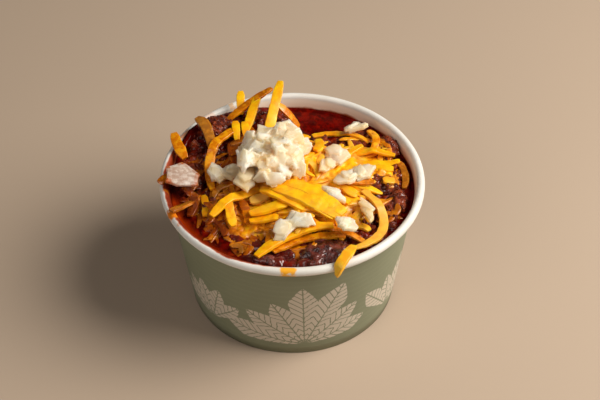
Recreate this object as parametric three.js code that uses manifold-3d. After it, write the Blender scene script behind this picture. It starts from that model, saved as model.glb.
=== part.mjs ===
// Chili con carne in a squat paper cup, with grated cheese and diced onion on top.
//
// Lengths are millimetres and +Z is up. The origin is the centre of the circle that
// the cup's foot stands on. The front of the cup faces -Y.

import * as THREE from 'three';
import { mergeVertices } from 'three/addons/utils/BufferGeometryUtils.js';
import Module from 'manifold-3d';

const wasm = await Module();
wasm.setup();

// ---------------------------------------------------------------- driving dimensions

const GAP = 0.3; // clearance between neighbouring pieces
const WELD = 1e-4; // corners nearer than this are one corner
const SCRAP = 12; // volume under which a body left by a cut is dropped, cubic millimetres

// Seeds of the random draws
const LUMP_SEED = 11;
const BEEF_SEED = 7;
const SHRED_SEED = 29;
const DICE_SEED = 71;
const HEAP_SEED = 53;

// Cup
const CUP_HEIGHT = 63;
const RIM_RADIUS = 57; // outside of the rolled rim
const ROLL_WIDTH = 3.5;
const ROLL_HEIGHT = 4;
const FOOT_RADIUS = 45.5; // outside of the wall where it stands
const PAPER = 0.6;
const SKIRT = 0.5; // the floor's own paper, folded down into the foot
const CUFF_HEIGHT = 6; // the wall's paper, folded up inside the foot
const CUP_SIDES = 60;

// Chili
const SAUCE_LEVEL = 56.5;
const RIDGE = [[-37, 26], [-17, 31], [-6, 8]]; // crest of the mound, behind and to the left
const RIDGE_RISE = 9.5;
const RIDGE_REACH = 26;
const APRON = [12, -14]; // low swelling in front and to the right
const APRON_RISE = 3;
const APRON_REACH = 34;
const WALL_EASE = 48; // from this radius outwards the mound sinks towards the wall
const WALL_SINK = 0.3; // share of its rise that it loses there
const CHILI_RINGS = 16;
const CHILI_SECTORS = 50;
const LUMPS = 80;
const LUMP_FIELD = 50; // radius of the round field that they lie in
const LUMP_REACH = [3.5, 6.5];
const LUMP_RISE = [0.4, 1.3];
const POOL = [14, 43]; // clear sauce, with no lumps
const POOL_REACH = 17;

// Minced beef: x, y, half length, half width, turn in degrees, rise above the chili
const BEEF = [
  [14.5, -41.5, 11, 7, 12, 4],
  [-41.5, 10, 5.5, 15, -6, 1.5],
  [-34, 29, 7, 5.5, 20, 3],
  [42, 24.5, 7, 5.5, 120, 4],
  [37, -1, 8, 5, 10, 2.5],
  [44, -11.5, 7, 4.5, 75, 3.5],
  [25, 27, 8, 4, 0, 2],
  [-11, -44, 6, 3, -15, 1.5],
];
const CRUMBLE = 0.1; // unevenness of a clump, as a share of its size
const LARGE_CLUMP = 9; // half length from which a clump gets finer facets
const CORNER_SHADOW = 2; // how far round a clump's corner it raises the ground

// Melted cheese under the shreds: its reach from CORE_CENTRE every 30 degrees from +X
const CORE_CENTRE = [0, -5];
const CORE_REACH = [38, 37, 33, 31, 37, 37, 32, 35, 31, 29, 33, 38];
const CORE_LIFT = 0.9; // its underside's height over the chili
const CORE_DEPTH = 2.2;
const CORE_THINNING = 0.7; // share of its depth that it loses towards its edge
const CORE_RINGS = 6;
const CORE_SECTORS = 30;

// Grated cheese
const SHRED_STEP = 1.5; // spacing of the stations where a shred is settled
const SHRED_DROOP = 0.05; // how far one station may hang below its two neighbours' mean
const DRAPE_PASSES = 400;
const SHRED_BITE = 0.5; // how far a shred presses into what it lies on
const BEARING = 0.35; // a shred bears on the ground this share of its width to each side
const FLATNESS = 0.5; // thickness over width
const END_TAPER = 0.25; // share of its section that a shred loses at its ends
const SHRED_SEGMENT = 6; // length of one straight stretch of a bent shred

// Shreds at the bottom of the heap, which mostly show between the others
const SCATTERED_SHREDS = 17;
const SCATTER_BAND = [0.35, 0.9]; // shares of the melted cheese's reach
const SCATTER_HALF_LENGTH = [7, 12];
const SCATTER_BOW = [-4, 4];
const SCATTER_WIDTH = [3, 4.5];

// Shreds that lie on the heap, lowest first: from x, y, to x, y, bow to the left, width
const LAID_SHREDS = [
  [-42, 31, -35, 14, 1.5, 4.5],
  [-27, 19, -23, 5, -1, 3],
  [-42.5, -7, -43.5, -20, 1, 4],
  [-33, -22, -28, -32, 1, 3.5],
  [-22, -14, -19, -27, 1, 3.5],
  [-8, -42, 22, -36, 3.5, 3],
  [5, -31, 27, -39, 2, 3],
  [-17, -14, -9, -12, 0, 4.5],
  [-18, -27, -6, -26, 0.5, 4],
  [22, -5, 35, -4, 0.5, 3.5],
  [46, 14, 48, -3, 2, 3],
  [28, -6, 27, -39, 10.5, 4],
  [34, 34, 35, 19, 2.5, 3.5],
  [33, 8, 44, 8, 0.5, 3.5],
  [28, 12, 47, 12.5, -0.5, 3.5],
  [26, 18, 45, 16.5, 1, 3.5],
  [22, 13, 31, 22, 1, 3],
  [9, 31, 34, 26, 4, 3],
  [11.5, 22, 10, 11, 1, 4],
  [6, 19, 5, 5, -1, 4],
  [-24, 24.5, -34, -6, -6, 4],
  [-38, -7, -37, -20, 0.5, 3],
  [-27, -15, -24.5, -29, -0.5, 4],
  [-34, -22, -14, -7, 4, 4.5],
  [-32, 3, -31, -4, 0, 2.5],
  [-18, -24, -2, -20.5, 0.5, 4.5],
  [-15, -45, 17, -31, 4, 3.5],
  [25, -27.5, 33, -28.5, 2, 3.5],
  [-9, -11, 4, -20, -0.5, 5],
  [-5, -9, 20, -21, -1, 5],
  [1, -8, 24, -18, 1, 4.5],
  [39, -2, 44, -1, 0, 4],
];

// Shreds that stand out of the heap: x, y, z of one end, x, y, z of the other, width
const STANDING_ARCH = 1;
const STANDING_SHADOW = 1.5; // how far round a standing shred's corners it raises the ground
const STANDING_SHREDS = [
  [-29, 33, 66, -9, 47, 73, 3.5],
  [-23, 38, 65, -23, 48, 70.5, 3.5],
  [-20, 25, 67, -15, 44, 71.5, 4],
  [-6.5, 37, 72.3, 3, 35, 60.5, 3.5],
  [-25, 29, 69, -24, 18, 68, 3.5],
  [-21, 28, 69.5, -20, 19, 68.5, 3.5],
  [-11, 20, 66.5, -5, 44, 79.5, 4.5],
];

// Shreds apart from the heap: the points that each passes through, and its width
const LOOSE_SHREDS = [
  { width: 4.5, through: [[25, -43, 63.5], [22, -50, 65.4], [19, -54.6, 63.9], [17.8, -55.7, 59]] },
  { width: 3.5, through: [[-51, -1.5, 64.6], [-54.5, -3.5, 65.2], [-57, -5.3, 64]] },
  { width: 4.5, through: [[-46.5, 11, 63.6], [-50, 18, 65.4], [-52, 24.5, 66.2]] },
  { width: 3.5, through: [[-42.5, -12, 59.4], [-47, -18, 62], [-50.8, -23.5, 65]] },
];

// Diced onion
const ONION_THICKNESS = 2.6;
const ONION_CURL = 0.04; // how far a dice's layers bend away, per square millimetre
const UNEVEN_LENGTH = 0.13; // how far a corner strays, as a share of the dice's length
const UNEVEN_WIDTH = 0.18; // and of its width
const SLOPE_SPAN = 5; // a dice feels the ground's slope this far to each side
const SLOPE_EASE = 1.5; // a slope of this rise over run tilts it by half a right angle

// Dice apart from the heap: x, y, length, width, turn in degrees
const DICE_LEAN = 0.15; // radians
const DICE_SHADOW = 1.6; // how far round its corners a dice raises the ground
const DICE = [
  [20, 10, 7.5, 8, 20],
  [15, 2, 8.5, 6, 75],
  [30.5, 1.5, 8.5, 6.5, 40],
  [22.5, -5, 7, 5.5, 10],
  [18.5, -15, 9, 5, -35],
  [4.5, -30.5, 10.5, 6, -12],
  [22.5, -33.5, 9, 7, 30],
  [-3, -37, 8.5, 7, -40],
  [-32.5, -1.5, 7, 6, 60],
  [-26, 0, 7, 6.5, 15],
  [-20, -8, 8.5, 7, -20],
  [-47.5, -1, 10.5, 9.5, 10],
  [27.5, 35, 11, 4, 8],
  [31.5, -22, 12, 4, 105],
];

// Onion heap
const HEAP_CENTRE = [-7.5, 3.5];
const HEAP_REACH = [14.5, 15];
const HEAP_CORE = 0.8; // reach of its core as a share of its own
const HEAP_LIFT = 2; // its core's underside over the cheese
const HEAP_RISE = 3; // how much more its crown rises than its skirt
const HEAP_DICE = 26;
const HEAP_DICE_LENGTH = [6.5, 9];
const HEAP_DICE_WIDTH = [5, 7.5];
const HEAP_LEAN = 0.8; // radians
const HEAP_DISORDER = 0.3; // radians by which a dice strays from its place on the spiral
const GOLDEN_ANGLE = Math.PI * (3 - Math.sqrt(5));

// ---------------------------------------------------------------- helpers

/** Park-Miller random numbers between 0 and 1, the same on every run. */
function seededRandom(seed) {
  let state = seed;
  return () => {
    state = (state * 16807) % 2147483647;
    return state / 2147483647;
  };
}

const between = (random, [low, high]) => low + (high - low) * random();
const stray = (random, limit) => between(random, [-limit, limit]);

/** 1 at zero, falling smoothly to 0 where t reaches 1. */
const bell = (t) => 0.5 + 0.5 * Math.cos(Math.PI * Math.min(Math.max(t, 0), 1));

const radians = THREE.MathUtils.degToRad;

/** Distance in plan from a point to the line from a to b. */
function distanceToLine(x, y, a, b) {
  const line = new THREE.Line3(new THREE.Vector3(...a, 0), new THREE.Vector3(...b, 0));
  const point = new THREE.Vector3(x, y, 0);
  return line.closestPointToPoint(point, true, new THREE.Vector3()).distanceTo(point);
}

/** A geometry as a manifold solid, with its seams closed and its faces outwards. */
function toSolid(geometry) {
  const bare = new THREE.BufferGeometry();
  bare.setAttribute('position', geometry.getAttribute('position').clone());
  bare.setIndex(geometry.index ? geometry.index.clone() : null);
  const merged = mergeVertices(bare, WELD);
  const corners = merged.index.array;
  const triangles = [];
  for (let i = 0; i < corners.length; i += 3) {
    const [a, b, c] = corners.slice(i, i + 3);
    if (a !== b && b !== c && c !== a) {
      triangles.push(a, b, c);
    }
  }
  const makeSolid = (order) => new wasm.Manifold(new wasm.Mesh({
    numProp: 3,
    vertProperties: Float32Array.from(merged.getAttribute('position').array),
    triVerts: Uint32Array.from(order),
  }));
  const solid = makeSolid(triangles);
  return solid.volume() > 0 ? solid : makeSolid(triangles.reverse());
}

/** The bodies of a solid, largest first; scraps that a cut leaves are dropped. */
function bodiesOf(solid) {
  const bodies = solid.decompose().filter((body) => body.volume() > SCRAP);
  return bodies.sort((a, b) => b.volume() - a.volume());
}

/** A solid as a flat-shaded, named mesh. */
function toMesh(name, solid, material) {
  const { vertProperties, triVerts } = solid.getMesh();
  const geometry = new THREE.BufferGeometry();
  geometry.setAttribute('position', new THREE.BufferAttribute(Float32Array.from(vertProperties), 3));
  geometry.setIndex(Array.from(triVerts));
  geometry.computeVertexNormals();
  const mesh = new THREE.Mesh(geometry, material);
  mesh.name = name;
  return mesh;
}

/** A closed profile of [radius, z] pairs, turned round the Z axis. */
function turned(profile, sides) {
  const points = profile.map(([radius, z]) => new THREE.Vector2(radius, z));
  return new THREE.LatheGeometry(points, sides).rotateX(Math.PI / 2);
}

/** Moves every vertex of a geometry to where the function puts it. */
function reshape(geometry, move) {
  const position = geometry.getAttribute('position');
  const vertex = new THREE.Vector3();
  for (let i = 0; i < position.count; i += 1) {
    move(vertex.fromBufferAttribute(position, i));
    position.setXYZ(i, vertex.x, vertex.y, vertex.z);
  }
  return geometry;
}

// ---------------------------------------------------------------- cup

const WALL_TOP_RADIUS = RIM_RADIUS - ROLL_WIDTH + PAPER;
const FLOOR_BOTTOM = CUFF_HEIGHT + GAP;
const FLOOR_TOP = FLOOR_BOTTOM + PAPER;

/** Outside radius of the tapered wall at a height. */
const outerRadius = (z) => FOOT_RADIUS + (WALL_TOP_RADIUS - FOOT_RADIUS) * z / CUP_HEIGHT;
const innerRadius = (z) => outerRadius(z) - PAPER;

/** The rolled rim's section: an ellipse from its underside round to the inner wall. */
function rollProfile() {
  const centreRadius = RIM_RADIUS - ROLL_WIDTH / 2;
  const centreHeight = CUP_HEIGHT - ROLL_HEIGHT / 2;
  const points = [];
  for (let angle = -135; angle <= 180; angle += 45) {
    points.push([
      centreRadius + ROLL_WIDTH / 2 * Math.cos(radians(angle)),
      centreHeight + ROLL_HEIGHT / 2 * Math.sin(radians(angle)),
    ]);
  }
  return points;
}

/** One sheet of paper: rolled out at the rim and folded up into a cuff at the foot. */
function cupWall() {
  const slot = SKIRT + 2 * GAP;
  const rollBottom = CUP_HEIGHT - ROLL_HEIGHT;
  const profile = [
    [outerRadius(0), 0],
    [outerRadius(rollBottom), rollBottom],
    ...rollProfile(),
    [innerRadius(rollBottom), rollBottom],
    [innerRadius(PAPER), PAPER],
    [innerRadius(PAPER) - slot, PAPER],
    [innerRadius(CUFF_HEIGHT) - slot, CUFF_HEIGHT],
    [innerRadius(CUFF_HEIGHT) - slot - PAPER, CUFF_HEIGHT],
    [innerRadius(0) - slot - PAPER, 0],
    [outerRadius(0), 0],
  ];
  return toSolid(turned(profile, CUP_SIDES));
}

/** The floor: a disc whose skirt goes down between the wall and its cuff. */
function cupFloor() {
  const skirtBottom = PAPER + GAP;
  const profile = [
    [0, FLOOR_BOTTOM],
    [innerRadius(FLOOR_BOTTOM) - GAP - SKIRT, FLOOR_BOTTOM],
    [innerRadius(skirtBottom) - GAP - SKIRT, skirtBottom],
    [innerRadius(skirtBottom) - GAP, skirtBottom],
    [innerRadius(FLOOR_TOP) - GAP, FLOOR_TOP],
    [0, FLOOR_TOP],
  ];
  return toSolid(turned(profile, CUP_SIDES));
}

// ---------------------------------------------------------------- chili

/** Soft lumps of beef and bean under the sauce, none of them in the clear pool. */
function scatterLumps() {
  const random = seededRandom(LUMP_SEED);
  const scattered = [];
  while (scattered.length < LUMPS) {
    const radius = LUMP_FIELD * Math.sqrt(random());
    const angle = 2 * Math.PI * random();
    const lump = {
      x: radius * Math.cos(angle),
      y: radius * Math.sin(angle),
      reach: between(random, LUMP_REACH),
      rise: between(random, LUMP_RISE),
    };
    if (Math.hypot(lump.x - POOL[0], lump.y - POOL[1]) > POOL_REACH) {
      scattered.push(lump);
    }
  }
  return scattered;
}

const lumps = scatterLumps();

/** Height of the chili's surface. */
function chiliTop(x, y) {
  const fromRidge = Math.min(
    distanceToLine(x, y, RIDGE[0], RIDGE[1]),
    distanceToLine(x, y, RIDGE[1], RIDGE[2]),
  );
  const fromApron = Math.hypot(x - APRON[0], y - APRON[1]);
  const mound = RIDGE_RISE * bell(fromRidge / RIDGE_REACH) + APRON_RISE * bell(fromApron / APRON_REACH);
  const radius = Math.hypot(x, y);
  const ease = 1 - WALL_SINK * THREE.MathUtils.smoothstep(radius, WALL_EASE, RIM_RADIUS - ROLL_WIDTH);
  const relief = lumps.reduce(
    (sum, lump) => sum + lump.rise * bell(Math.hypot(x - lump.x, y - lump.y) / lump.reach), 0);
  return SAUCE_LEVEL + mound * ease + relief;
}

/** The chili fills the cup from its floor to its own mounded surface. */
function chiliBody() {
  const bottom = FLOOR_TOP + GAP;
  const edge = innerRadius(SAUCE_LEVEL) - GAP;
  const profile = [[0, bottom], [innerRadius(bottom) - GAP, bottom]];
  for (let ring = CHILI_RINGS; ring >= 0; ring -= 1) {
    profile.push([edge * ring / CHILI_RINGS, SAUCE_LEVEL]);
  }
  const geometry = reshape(turned(profile, CHILI_SECTORS), (vertex) => {
    if (vertex.z < bottom + 1) {
      return;
    }
    const radius = Math.hypot(vertex.x, vertex.y);
    vertex.z = chiliTop(vertex.x, vertex.y);
    if (radius > edge - 0.01) {
      const fitted = (innerRadius(vertex.z) - GAP) / radius;
      vertex.x *= fitted;
      vertex.y *= fitted;
    }
  });
  return toSolid(geometry);
}

// ---------------------------------------------------------------- ground under the toppings

const HALF_MAP = 62; // the height map covers this far from the axis, one cell to a millimetre

/** A height map of everything laid so far, which the next piece comes to rest on. */
class Ground {
  constructor() {
    this.side = 2 * HALF_MAP + 1;
    this.cells = new Float64Array(this.side * this.side);
    for (let row = 0; row < this.side; row += 1) {
      for (let column = 0; column < this.side; column += 1) {
        this.cells[row * this.side + column] = this.bare(column - HALF_MAP, row - HALF_MAP);
      }
    }
  }

  bare(x, y) {
    const radius = Math.hypot(x, y);
    if (radius > RIM_RADIUS) {
      return 0;
    }
    const surface = radius > innerRadius(CUP_HEIGHT) - 1 ? CUP_HEIGHT : chiliTop(x, y);
    return surface + GAP + SHRED_BITE;
  }

  at(x, y) {
    const column = Math.min(Math.max(Math.round(x) + HALF_MAP, 0), this.side - 1);
    const row = Math.min(Math.max(Math.round(y) + HALF_MAP, 0), this.side - 1);
    return this.cells[row * this.side + column];
  }

  /** Raises the cells within a radius of a point to at least a height. */
  raise(x, y, radius, height) {
    for (let row = Math.ceil(y - radius); row <= y + radius; row += 1) {
      for (let column = Math.ceil(x - radius); column <= x + radius; column += 1) {
        if (Math.hypot(column - x, row - y) <= radius) {
          const cell = (row + HALF_MAP) * this.side + column + HALF_MAP;
          this.cells[cell] = Math.max(this.cells[cell], height);
        }
      }
    }
  }
}

/** Raises the ground under and round each corner of a geometry. */
function raiseOver(ground, geometry, radius) {
  const position = geometry.getAttribute('position');
  for (let i = 0; i < position.count; i += 1) {
    ground.raise(position.getX(i), position.getY(i), radius, position.getZ(i));
  }
}

// ---------------------------------------------------------------- minced beef

/** A crumbly clump, half sunk in the chili. */
function beefClump([x, y, halfLength, halfWidth, turn, rise], random) {
  const phases = [random(), random(), random()].map((value) => 2 * Math.PI * value);
  const detail = Math.max(halfLength, halfWidth) > LARGE_CLUMP ? 2 : 1;
  const clump = reshape(new THREE.IcosahedronGeometry(1, detail), (vertex) => {
    const wobble = Math.sin(7 * vertex.x + phases[0]) * Math.sin(6 * vertex.y + phases[1])
      + 0.5 * Math.sin(11 * vertex.z + 9 * vertex.x + phases[2]);
    vertex.multiplyScalar(1 + CRUMBLE * wobble);
    vertex.set(vertex.x * halfLength, vertex.y * halfWidth, vertex.z * rise);
  });
  return clump.rotateZ(radians(turn)).translate(x, y, chiliTop(x, y));
}

// ---------------------------------------------------------------- grated cheese

/** Reach of the melted cheese from its centre in a direction, smooth between the given ones. */
function coreReach(angle) {
  const turn = ((angle / (2 * Math.PI)) % 1 + 1) % 1;
  const place = turn * CORE_REACH.length;
  const index = Math.floor(place);
  const next = CORE_REACH[(index + 1) % CORE_REACH.length];
  return THREE.MathUtils.lerp(CORE_REACH[index], next, place - index);
}

/** Depth of the melted cheese at a share of its reach: full in the middle, thin at the edge. */
const coreDepth = (share) => CORE_DEPTH * (1 - CORE_THINNING * share ** 4);

/** A blanket of melted cheese that follows the chili, for the shreds to fuse to. */
function cheeseCore() {
  const profile = [];
  for (let ring = 0; ring <= CORE_RINGS; ring += 1) {
    profile.push([ring / CORE_RINGS, 0]);
  }
  for (let ring = CORE_RINGS; ring >= 0; ring -= 1) {
    profile.push([ring / CORE_RINGS, 1]);
  }
  return reshape(turned(profile, CORE_SECTORS), (vertex) => {
    const depth = vertex.z * coreDepth(Math.hypot(vertex.x, vertex.y));
    const reach = coreReach(Math.atan2(vertex.y, vertex.x));
    vertex.x = CORE_CENTRE[0] + reach * vertex.x;
    vertex.y = CORE_CENTRE[1] + reach * vertex.y;
    vertex.z = chiliTop(vertex.x, vertex.y) + CORE_LIFT + depth;
  });
}

/** Lets a string of heights sag, no lower than its supports. */
function drape(supports) {
  const heights = supports.map(() => Math.max(...supports));
  const last = heights.length - 1;
  for (let pass = 0; pass < DRAPE_PASSES; pass += 1) {
    for (let i = 0; i <= last; i += 1) {
      const before = i > 0 ? heights[i - 1] : 2 * heights[1] - heights[2];
      const after = i < last ? heights[i + 1] : 2 * heights[last - 1] - heights[last - 2];
      heights[i] = Math.max(supports[i], (before + after) / 2 - SHRED_DROOP);
    }
  }
  return heights;
}

/** Lays a shred on the ground between two places in plan and returns its centre line. */
function layShred(ground, [fromX, fromY, toX, toY, bow, width]) {
  const length = Math.hypot(toX - fromX, toY - fromY);
  const sideX = -(toY - fromY) / length;
  const sideY = (toX - fromX) / length;
  const half = width * FLATNESS / 2;
  const count = Math.max(5, Math.round(length / SHRED_STEP));
  const places = [];
  for (let i = 0; i <= count; i += 1) {
    const t = i / count;
    const offset = bow * 4 * t * (1 - t);
    places.push([fromX + (toX - fromX) * t + sideX * offset, fromY + (toY - fromY) * t + sideY * offset]);
  }
  const supports = places.map(([x, y]) => {
    const across = [-BEARING, 0, BEARING].map((share) => share * width);
    const bearings = across.map((offset) => ground.at(x + sideX * offset, y + sideY * offset));
    return Math.max(...bearings) + half - SHRED_BITE;
  });
  const heights = drape(supports);
  places.forEach(([x, y], i) => ground.raise(x, y, width / 2, heights[i] + half));
  return new THREE.CatmullRomCurve3(places.map(([x, y], i) => new THREE.Vector3(x, y, heights[i])));
}

/** A flat, slightly tapered shred along a curve: a long box bent to follow it. */
function shredGeometry(curve, width) {
  const length = curve.getLength();
  const segments = Math.max(3, Math.round(length / SHRED_SEGMENT));
  const box = new THREE.BoxGeometry(1, width, width * FLATNESS, segments, 1, 1);
  const up = new THREE.Vector3(0, 0, 1);
  return reshape(box, (vertex) => {
    const t = THREE.MathUtils.clamp(vertex.x + 0.5, 0, 1);
    const along = curve.getTangentAt(t);
    const side = new THREE.Vector3().crossVectors(up, along).normalize();
    const top = new THREE.Vector3().crossVectors(along, side);
    const taper = 1 - END_TAPER * Math.abs(2 * t - 1) ** 3;
    const { y, z } = vertex;
    vertex.copy(curve.getPointAt(t)).addScaledVector(side, y * taper).addScaledVector(top, z * taper);
  });
}

/** Plans for the shreds at the bottom of the heap, spread round the melted cheese. */
function scatteredPlans() {
  const random = seededRandom(SHRED_SEED);
  const plans = [];
  for (let i = 0; i < SCATTERED_SHREDS; i += 1) {
    const angle = 2 * Math.PI * (i + random()) / SCATTERED_SHREDS;
    const radius = coreReach(angle) * between(random, SCATTER_BAND);
    const x = CORE_CENTRE[0] + radius * Math.cos(angle);
    const y = CORE_CENTRE[1] + radius * Math.sin(angle);
    const heading = Math.PI * random();
    const half = between(random, SCATTER_HALF_LENGTH);
    const dx = half * Math.cos(heading);
    const dy = half * Math.sin(heading);
    const bow = between(random, SCATTER_BOW);
    plans.push([x - dx, y - dy, x + dx, y + dy, bow, between(random, SCATTER_WIDTH)]);
  }
  return plans;
}

/** A standing shred as a width and the points that it passes through, a little arched. */
function standingShred([x0, y0, z0, x1, y1, z1, width]) {
  const middle = [(x0 + x1) / 2, (y0 + y1) / 2, (z0 + z1) / 2 + STANDING_ARCH];
  return { width, through: [[x0, y0, z0], middle, [x1, y1, z1]] };
}

/** A smooth curve through [x, y, z] points. */
function curveThrough(points) {
  return new THREE.CatmullRomCurve3(points.map((point) => new THREE.Vector3(...point)));
}

// ---------------------------------------------------------------- diced onion

/** One dice: a slab of onion layer, curved one way, with uneven corners. */
function diceGeometry(length, width, random) {
  const slab = new THREE.BoxGeometry(length, width, ONION_THICKNESS, 2, 1, 1);
  const corners = new Map();
  return reshape(slab, (vertex) => {
    const key = [vertex.x, vertex.y, vertex.z].map((value) => value.toFixed(2)).join();
    if (!corners.has(key)) {
      corners.set(key, [length * stray(random, UNEVEN_LENGTH), width * stray(random, UNEVEN_WIDTH)]);
    }
    const [shiftX, shiftY] = corners.get(key);
    const sag = ONION_CURL * vertex.x ** 2;
    vertex.set(vertex.x + shiftX, vertex.y + shiftY, vertex.z - sag);
  });
}

/** Turns and leans a dice, and tilts it to the slope under it. */
function tiltDice(ground, geometry, x, y, turn, lean) {
  const slopeX = (ground.at(x + SLOPE_SPAN, y) - ground.at(x - SLOPE_SPAN, y)) / (2 * SLOPE_SPAN);
  const slopeY = (ground.at(x, y + SLOPE_SPAN) - ground.at(x, y - SLOPE_SPAN)) / (2 * SLOPE_SPAN);
  const up = new THREE.Vector3(0, 0, 1);
  const normal = new THREE.Vector3(-slopeX, -slopeY, SLOPE_EASE).normalize();
  const tilt = new THREE.Quaternion().setFromUnitVectors(up, normal);
  return geometry.rotateZ(turn).rotateX(lean).applyQuaternion(tilt).translate(x, y, 0);
}

/** Lowers a tilted dice until it is a gap above what it lies on. */
function lowerDice(ground, geometry) {
  const position = geometry.getAttribute('position');
  let lift = -Infinity;
  for (let i = 0; i < position.count; i += 1) {
    lift = Math.max(lift, ground.at(position.getX(i), position.getY(i)) - position.getZ(i));
  }
  return geometry.translate(0, 0, lift + GAP);
}

/** Rise of the onion heap at a share of its reach. */
const heapRise = (share) => HEAP_RISE * Math.sqrt(Math.max(0, 1 - share ** 2));

/** A smooth lump inside the onion heap, which its dice fuse to. */
function onionCore(ground) {
  return reshape(new THREE.IcosahedronGeometry(1, 2), (vertex) => {
    const share = Math.min(1, Math.hypot(vertex.x, vertex.y)) * HEAP_CORE;
    vertex.x = HEAP_CENTRE[0] + vertex.x * HEAP_CORE * HEAP_REACH[0];
    vertex.y = HEAP_CENTRE[1] + vertex.y * HEAP_CORE * HEAP_REACH[1];
    const top = vertex.z > 0 ? heapRise(share) * vertex.z : 0;
    vertex.z = ground.at(vertex.x, vertex.y) + HEAP_LIFT + top;
  });
}

/** The dice of the heap, in a spiral from its crown to its skirt, each leaning its own way. */
function heapDice(ground) {
  const random = seededRandom(HEAP_SEED);
  const dice = [];
  for (let i = 0; i < HEAP_DICE; i += 1) {
    const share = Math.sqrt((i + 0.5) / HEAP_DICE);
    const angle = GOLDEN_ANGLE * i + stray(random, HEAP_DISORDER);
    const x = HEAP_CENTRE[0] + HEAP_REACH[0] * share * Math.cos(angle);
    const y = HEAP_CENTRE[1] + HEAP_REACH[1] * share * Math.sin(angle);
    const length = between(random, HEAP_DICE_LENGTH);
    const width = between(random, HEAP_DICE_WIDTH);
    const geometry = diceGeometry(length, width, random);
    const turn = 2 * Math.PI * random();
    tiltDice(ground, geometry, x, y, turn, stray(random, HEAP_LEAN));
    dice.push(lowerDice(ground, geometry).translate(0, 0, heapRise(share)));
  }
  return dice;
}

// ---------------------------------------------------------------- materials

const paint = (color, roughness) => new THREE.MeshStandardMaterial({ color, roughness, metalness: 0 });

const makeGreenPaper = () => paint(0x82856a, 0.6);
const makeWhitePaper = () => paint(0xe9e4da, 0.55);
const makeSauce = () => paint(0x6e1405, 0.25);
const makeBeef = () => paint(0x4a1c10, 0.45);
const makeCheese = () => paint(0xf2a516, 0.5);
const makeOnion = () => paint(0xe8dec9, 0.4);

// ---------------------------------------------------------------- assembly

const group = new THREE.Group();
const cutters = [];
const numbered = (stem, index) => `${stem}_${String(index + 1).padStart(2, '0')}`;

const raised = (solid) => solid.translate([0, 0, GAP]);

/** A copy that reaches a gap further on every side. */
function grown(solid) {
  const { min, max } = solid.boundingBox();
  const centre = min.map((low, axis) => (low + max[axis]) / 2);
  const factors = min.map((low, axis) => 1 + 2 * GAP / (max[axis] - low));
  return solid.translate(centre.map((value) => -value)).scale(factors).translate(centre);
}

/** Adds a solid as a mesh; the pieces that come later are cut back by its cutters. */
function addPiece(name, solid, material, ownCutters = [grown(solid)]) {
  group.add(toMesh(name, solid, material));
  cutters.push(...ownCutters);
}

/** Whether the boxes round two solids meet. */
function boxesMeet(a, b) {
  const boxOf = ({ min, max }) => new THREE.Box3(new THREE.Vector3(...min), new THREE.Vector3(...max));
  return boxOf(a.boundingBox()).intersectsBox(boxOf(b.boundingBox()));
}

/** The bodies that are left of a solid where it is clear of all the pieces so far. */
function clearOfPieces(solid) {
  const near = cutters.filter((cutter) => boxesMeet(cutter, solid));
  return bodiesOf(near.length > 0 ? solid.subtract(wasm.Manifold.union(near)) : solid);
}

function addCup() {
  const wall = cupWall();
  const wider = 1 + GAP / innerRadius(CUP_HEIGHT);
  const wallCutters = [raised(wall), wall.scale([1 / wider, 1 / wider, 1]), wall.scale([wider, wider, 1])];
  addPiece('cup_wall', wall, makeGreenPaper(), wallCutters);
  addPiece('cup_floor', cupFloor(), makeWhitePaper());
}

function addBeef(ground) {
  const random = seededRandom(BEEF_SEED);
  BEEF.forEach((plan, index) => {
    const geometry = beefClump(plan, random);
    const [clump] = clearOfPieces(toSolid(geometry));
    raiseOver(ground, geometry.translate(0, 0, GAP + SHRED_BITE), CORNER_SHADOW);
    addPiece(numbered('beef', index), clump, makeBeef());
  });
}

function addCheese(ground) {
  const core = cheeseCore();
  const shreds = [core];
  raiseOver(ground, core, CORNER_SHADOW);
  [...scatteredPlans(), ...LAID_SHREDS].forEach((plan) => {
    shreds.push(shredGeometry(layShred(ground, plan), plan[5]));
  });
  [...STANDING_SHREDS.map(standingShred), ...LOOSE_SHREDS].forEach(({ width, through }) => {
    const geometry = shredGeometry(curveThrough(through), width);
    shreds.push(geometry);
    raiseOver(ground, geometry, STANDING_SHADOW);
  });
  const [heap, ...strands] = clearOfPieces(wasm.Manifold.union(shreds.map(toSolid)));
  addPiece('cheese_heap', heap, makeCheese(), [heap, raised(heap)]);
  strands.forEach((strand, index) => addPiece(numbered('cheese_strand', index), strand, makeCheese()));
}

function addLooseOnion(ground) {
  const random = seededRandom(DICE_SEED);
  DICE.forEach(([x, y, length, width, turn], index) => {
    const geometry = diceGeometry(length, width, random);
    tiltDice(ground, geometry, x, y, radians(turn), stray(random, DICE_LEAN));
    raiseOver(ground, lowerDice(ground, geometry), DICE_SHADOW);
    addPiece(numbered('onion', index), clearOfPieces(toSolid(geometry))[0], makeOnion());
  });
}

function addOnionHeap(ground) {
  const pieces = [onionCore(ground), ...heapDice(ground)].map(toSolid);
  addPiece('onion_heap', clearOfPieces(wasm.Manifold.union(pieces))[0], makeOnion());
}

const ground = new Ground();
addCup();
addPiece('chili', chiliBody(), makeSauce());
addBeef(ground);
addCheese(ground);
addLooseOnion(ground);
addOnionHeap(ground);

export default group;
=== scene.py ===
# %% [markdown]
# # Chili con carne in its paper cup
#
# A squat paper cup holds a mound of chili. Grated cheese lies on it, half melted
# at the bottom, and diced onion on top of that. The plain solids of all this are
# already built and packed. This lesson dresses them: each solid gives way to a
# detailed piece that keeps its place and outline, every surface gets a finish,
# and then come the light and the camera.

import itertools
import math

import bmesh
import bpy
import numpy as np
from mathutils import Matrix, Vector
from mathutils.bvhtree import BVHTree
from mathutils.kdtree import KDTree


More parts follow.
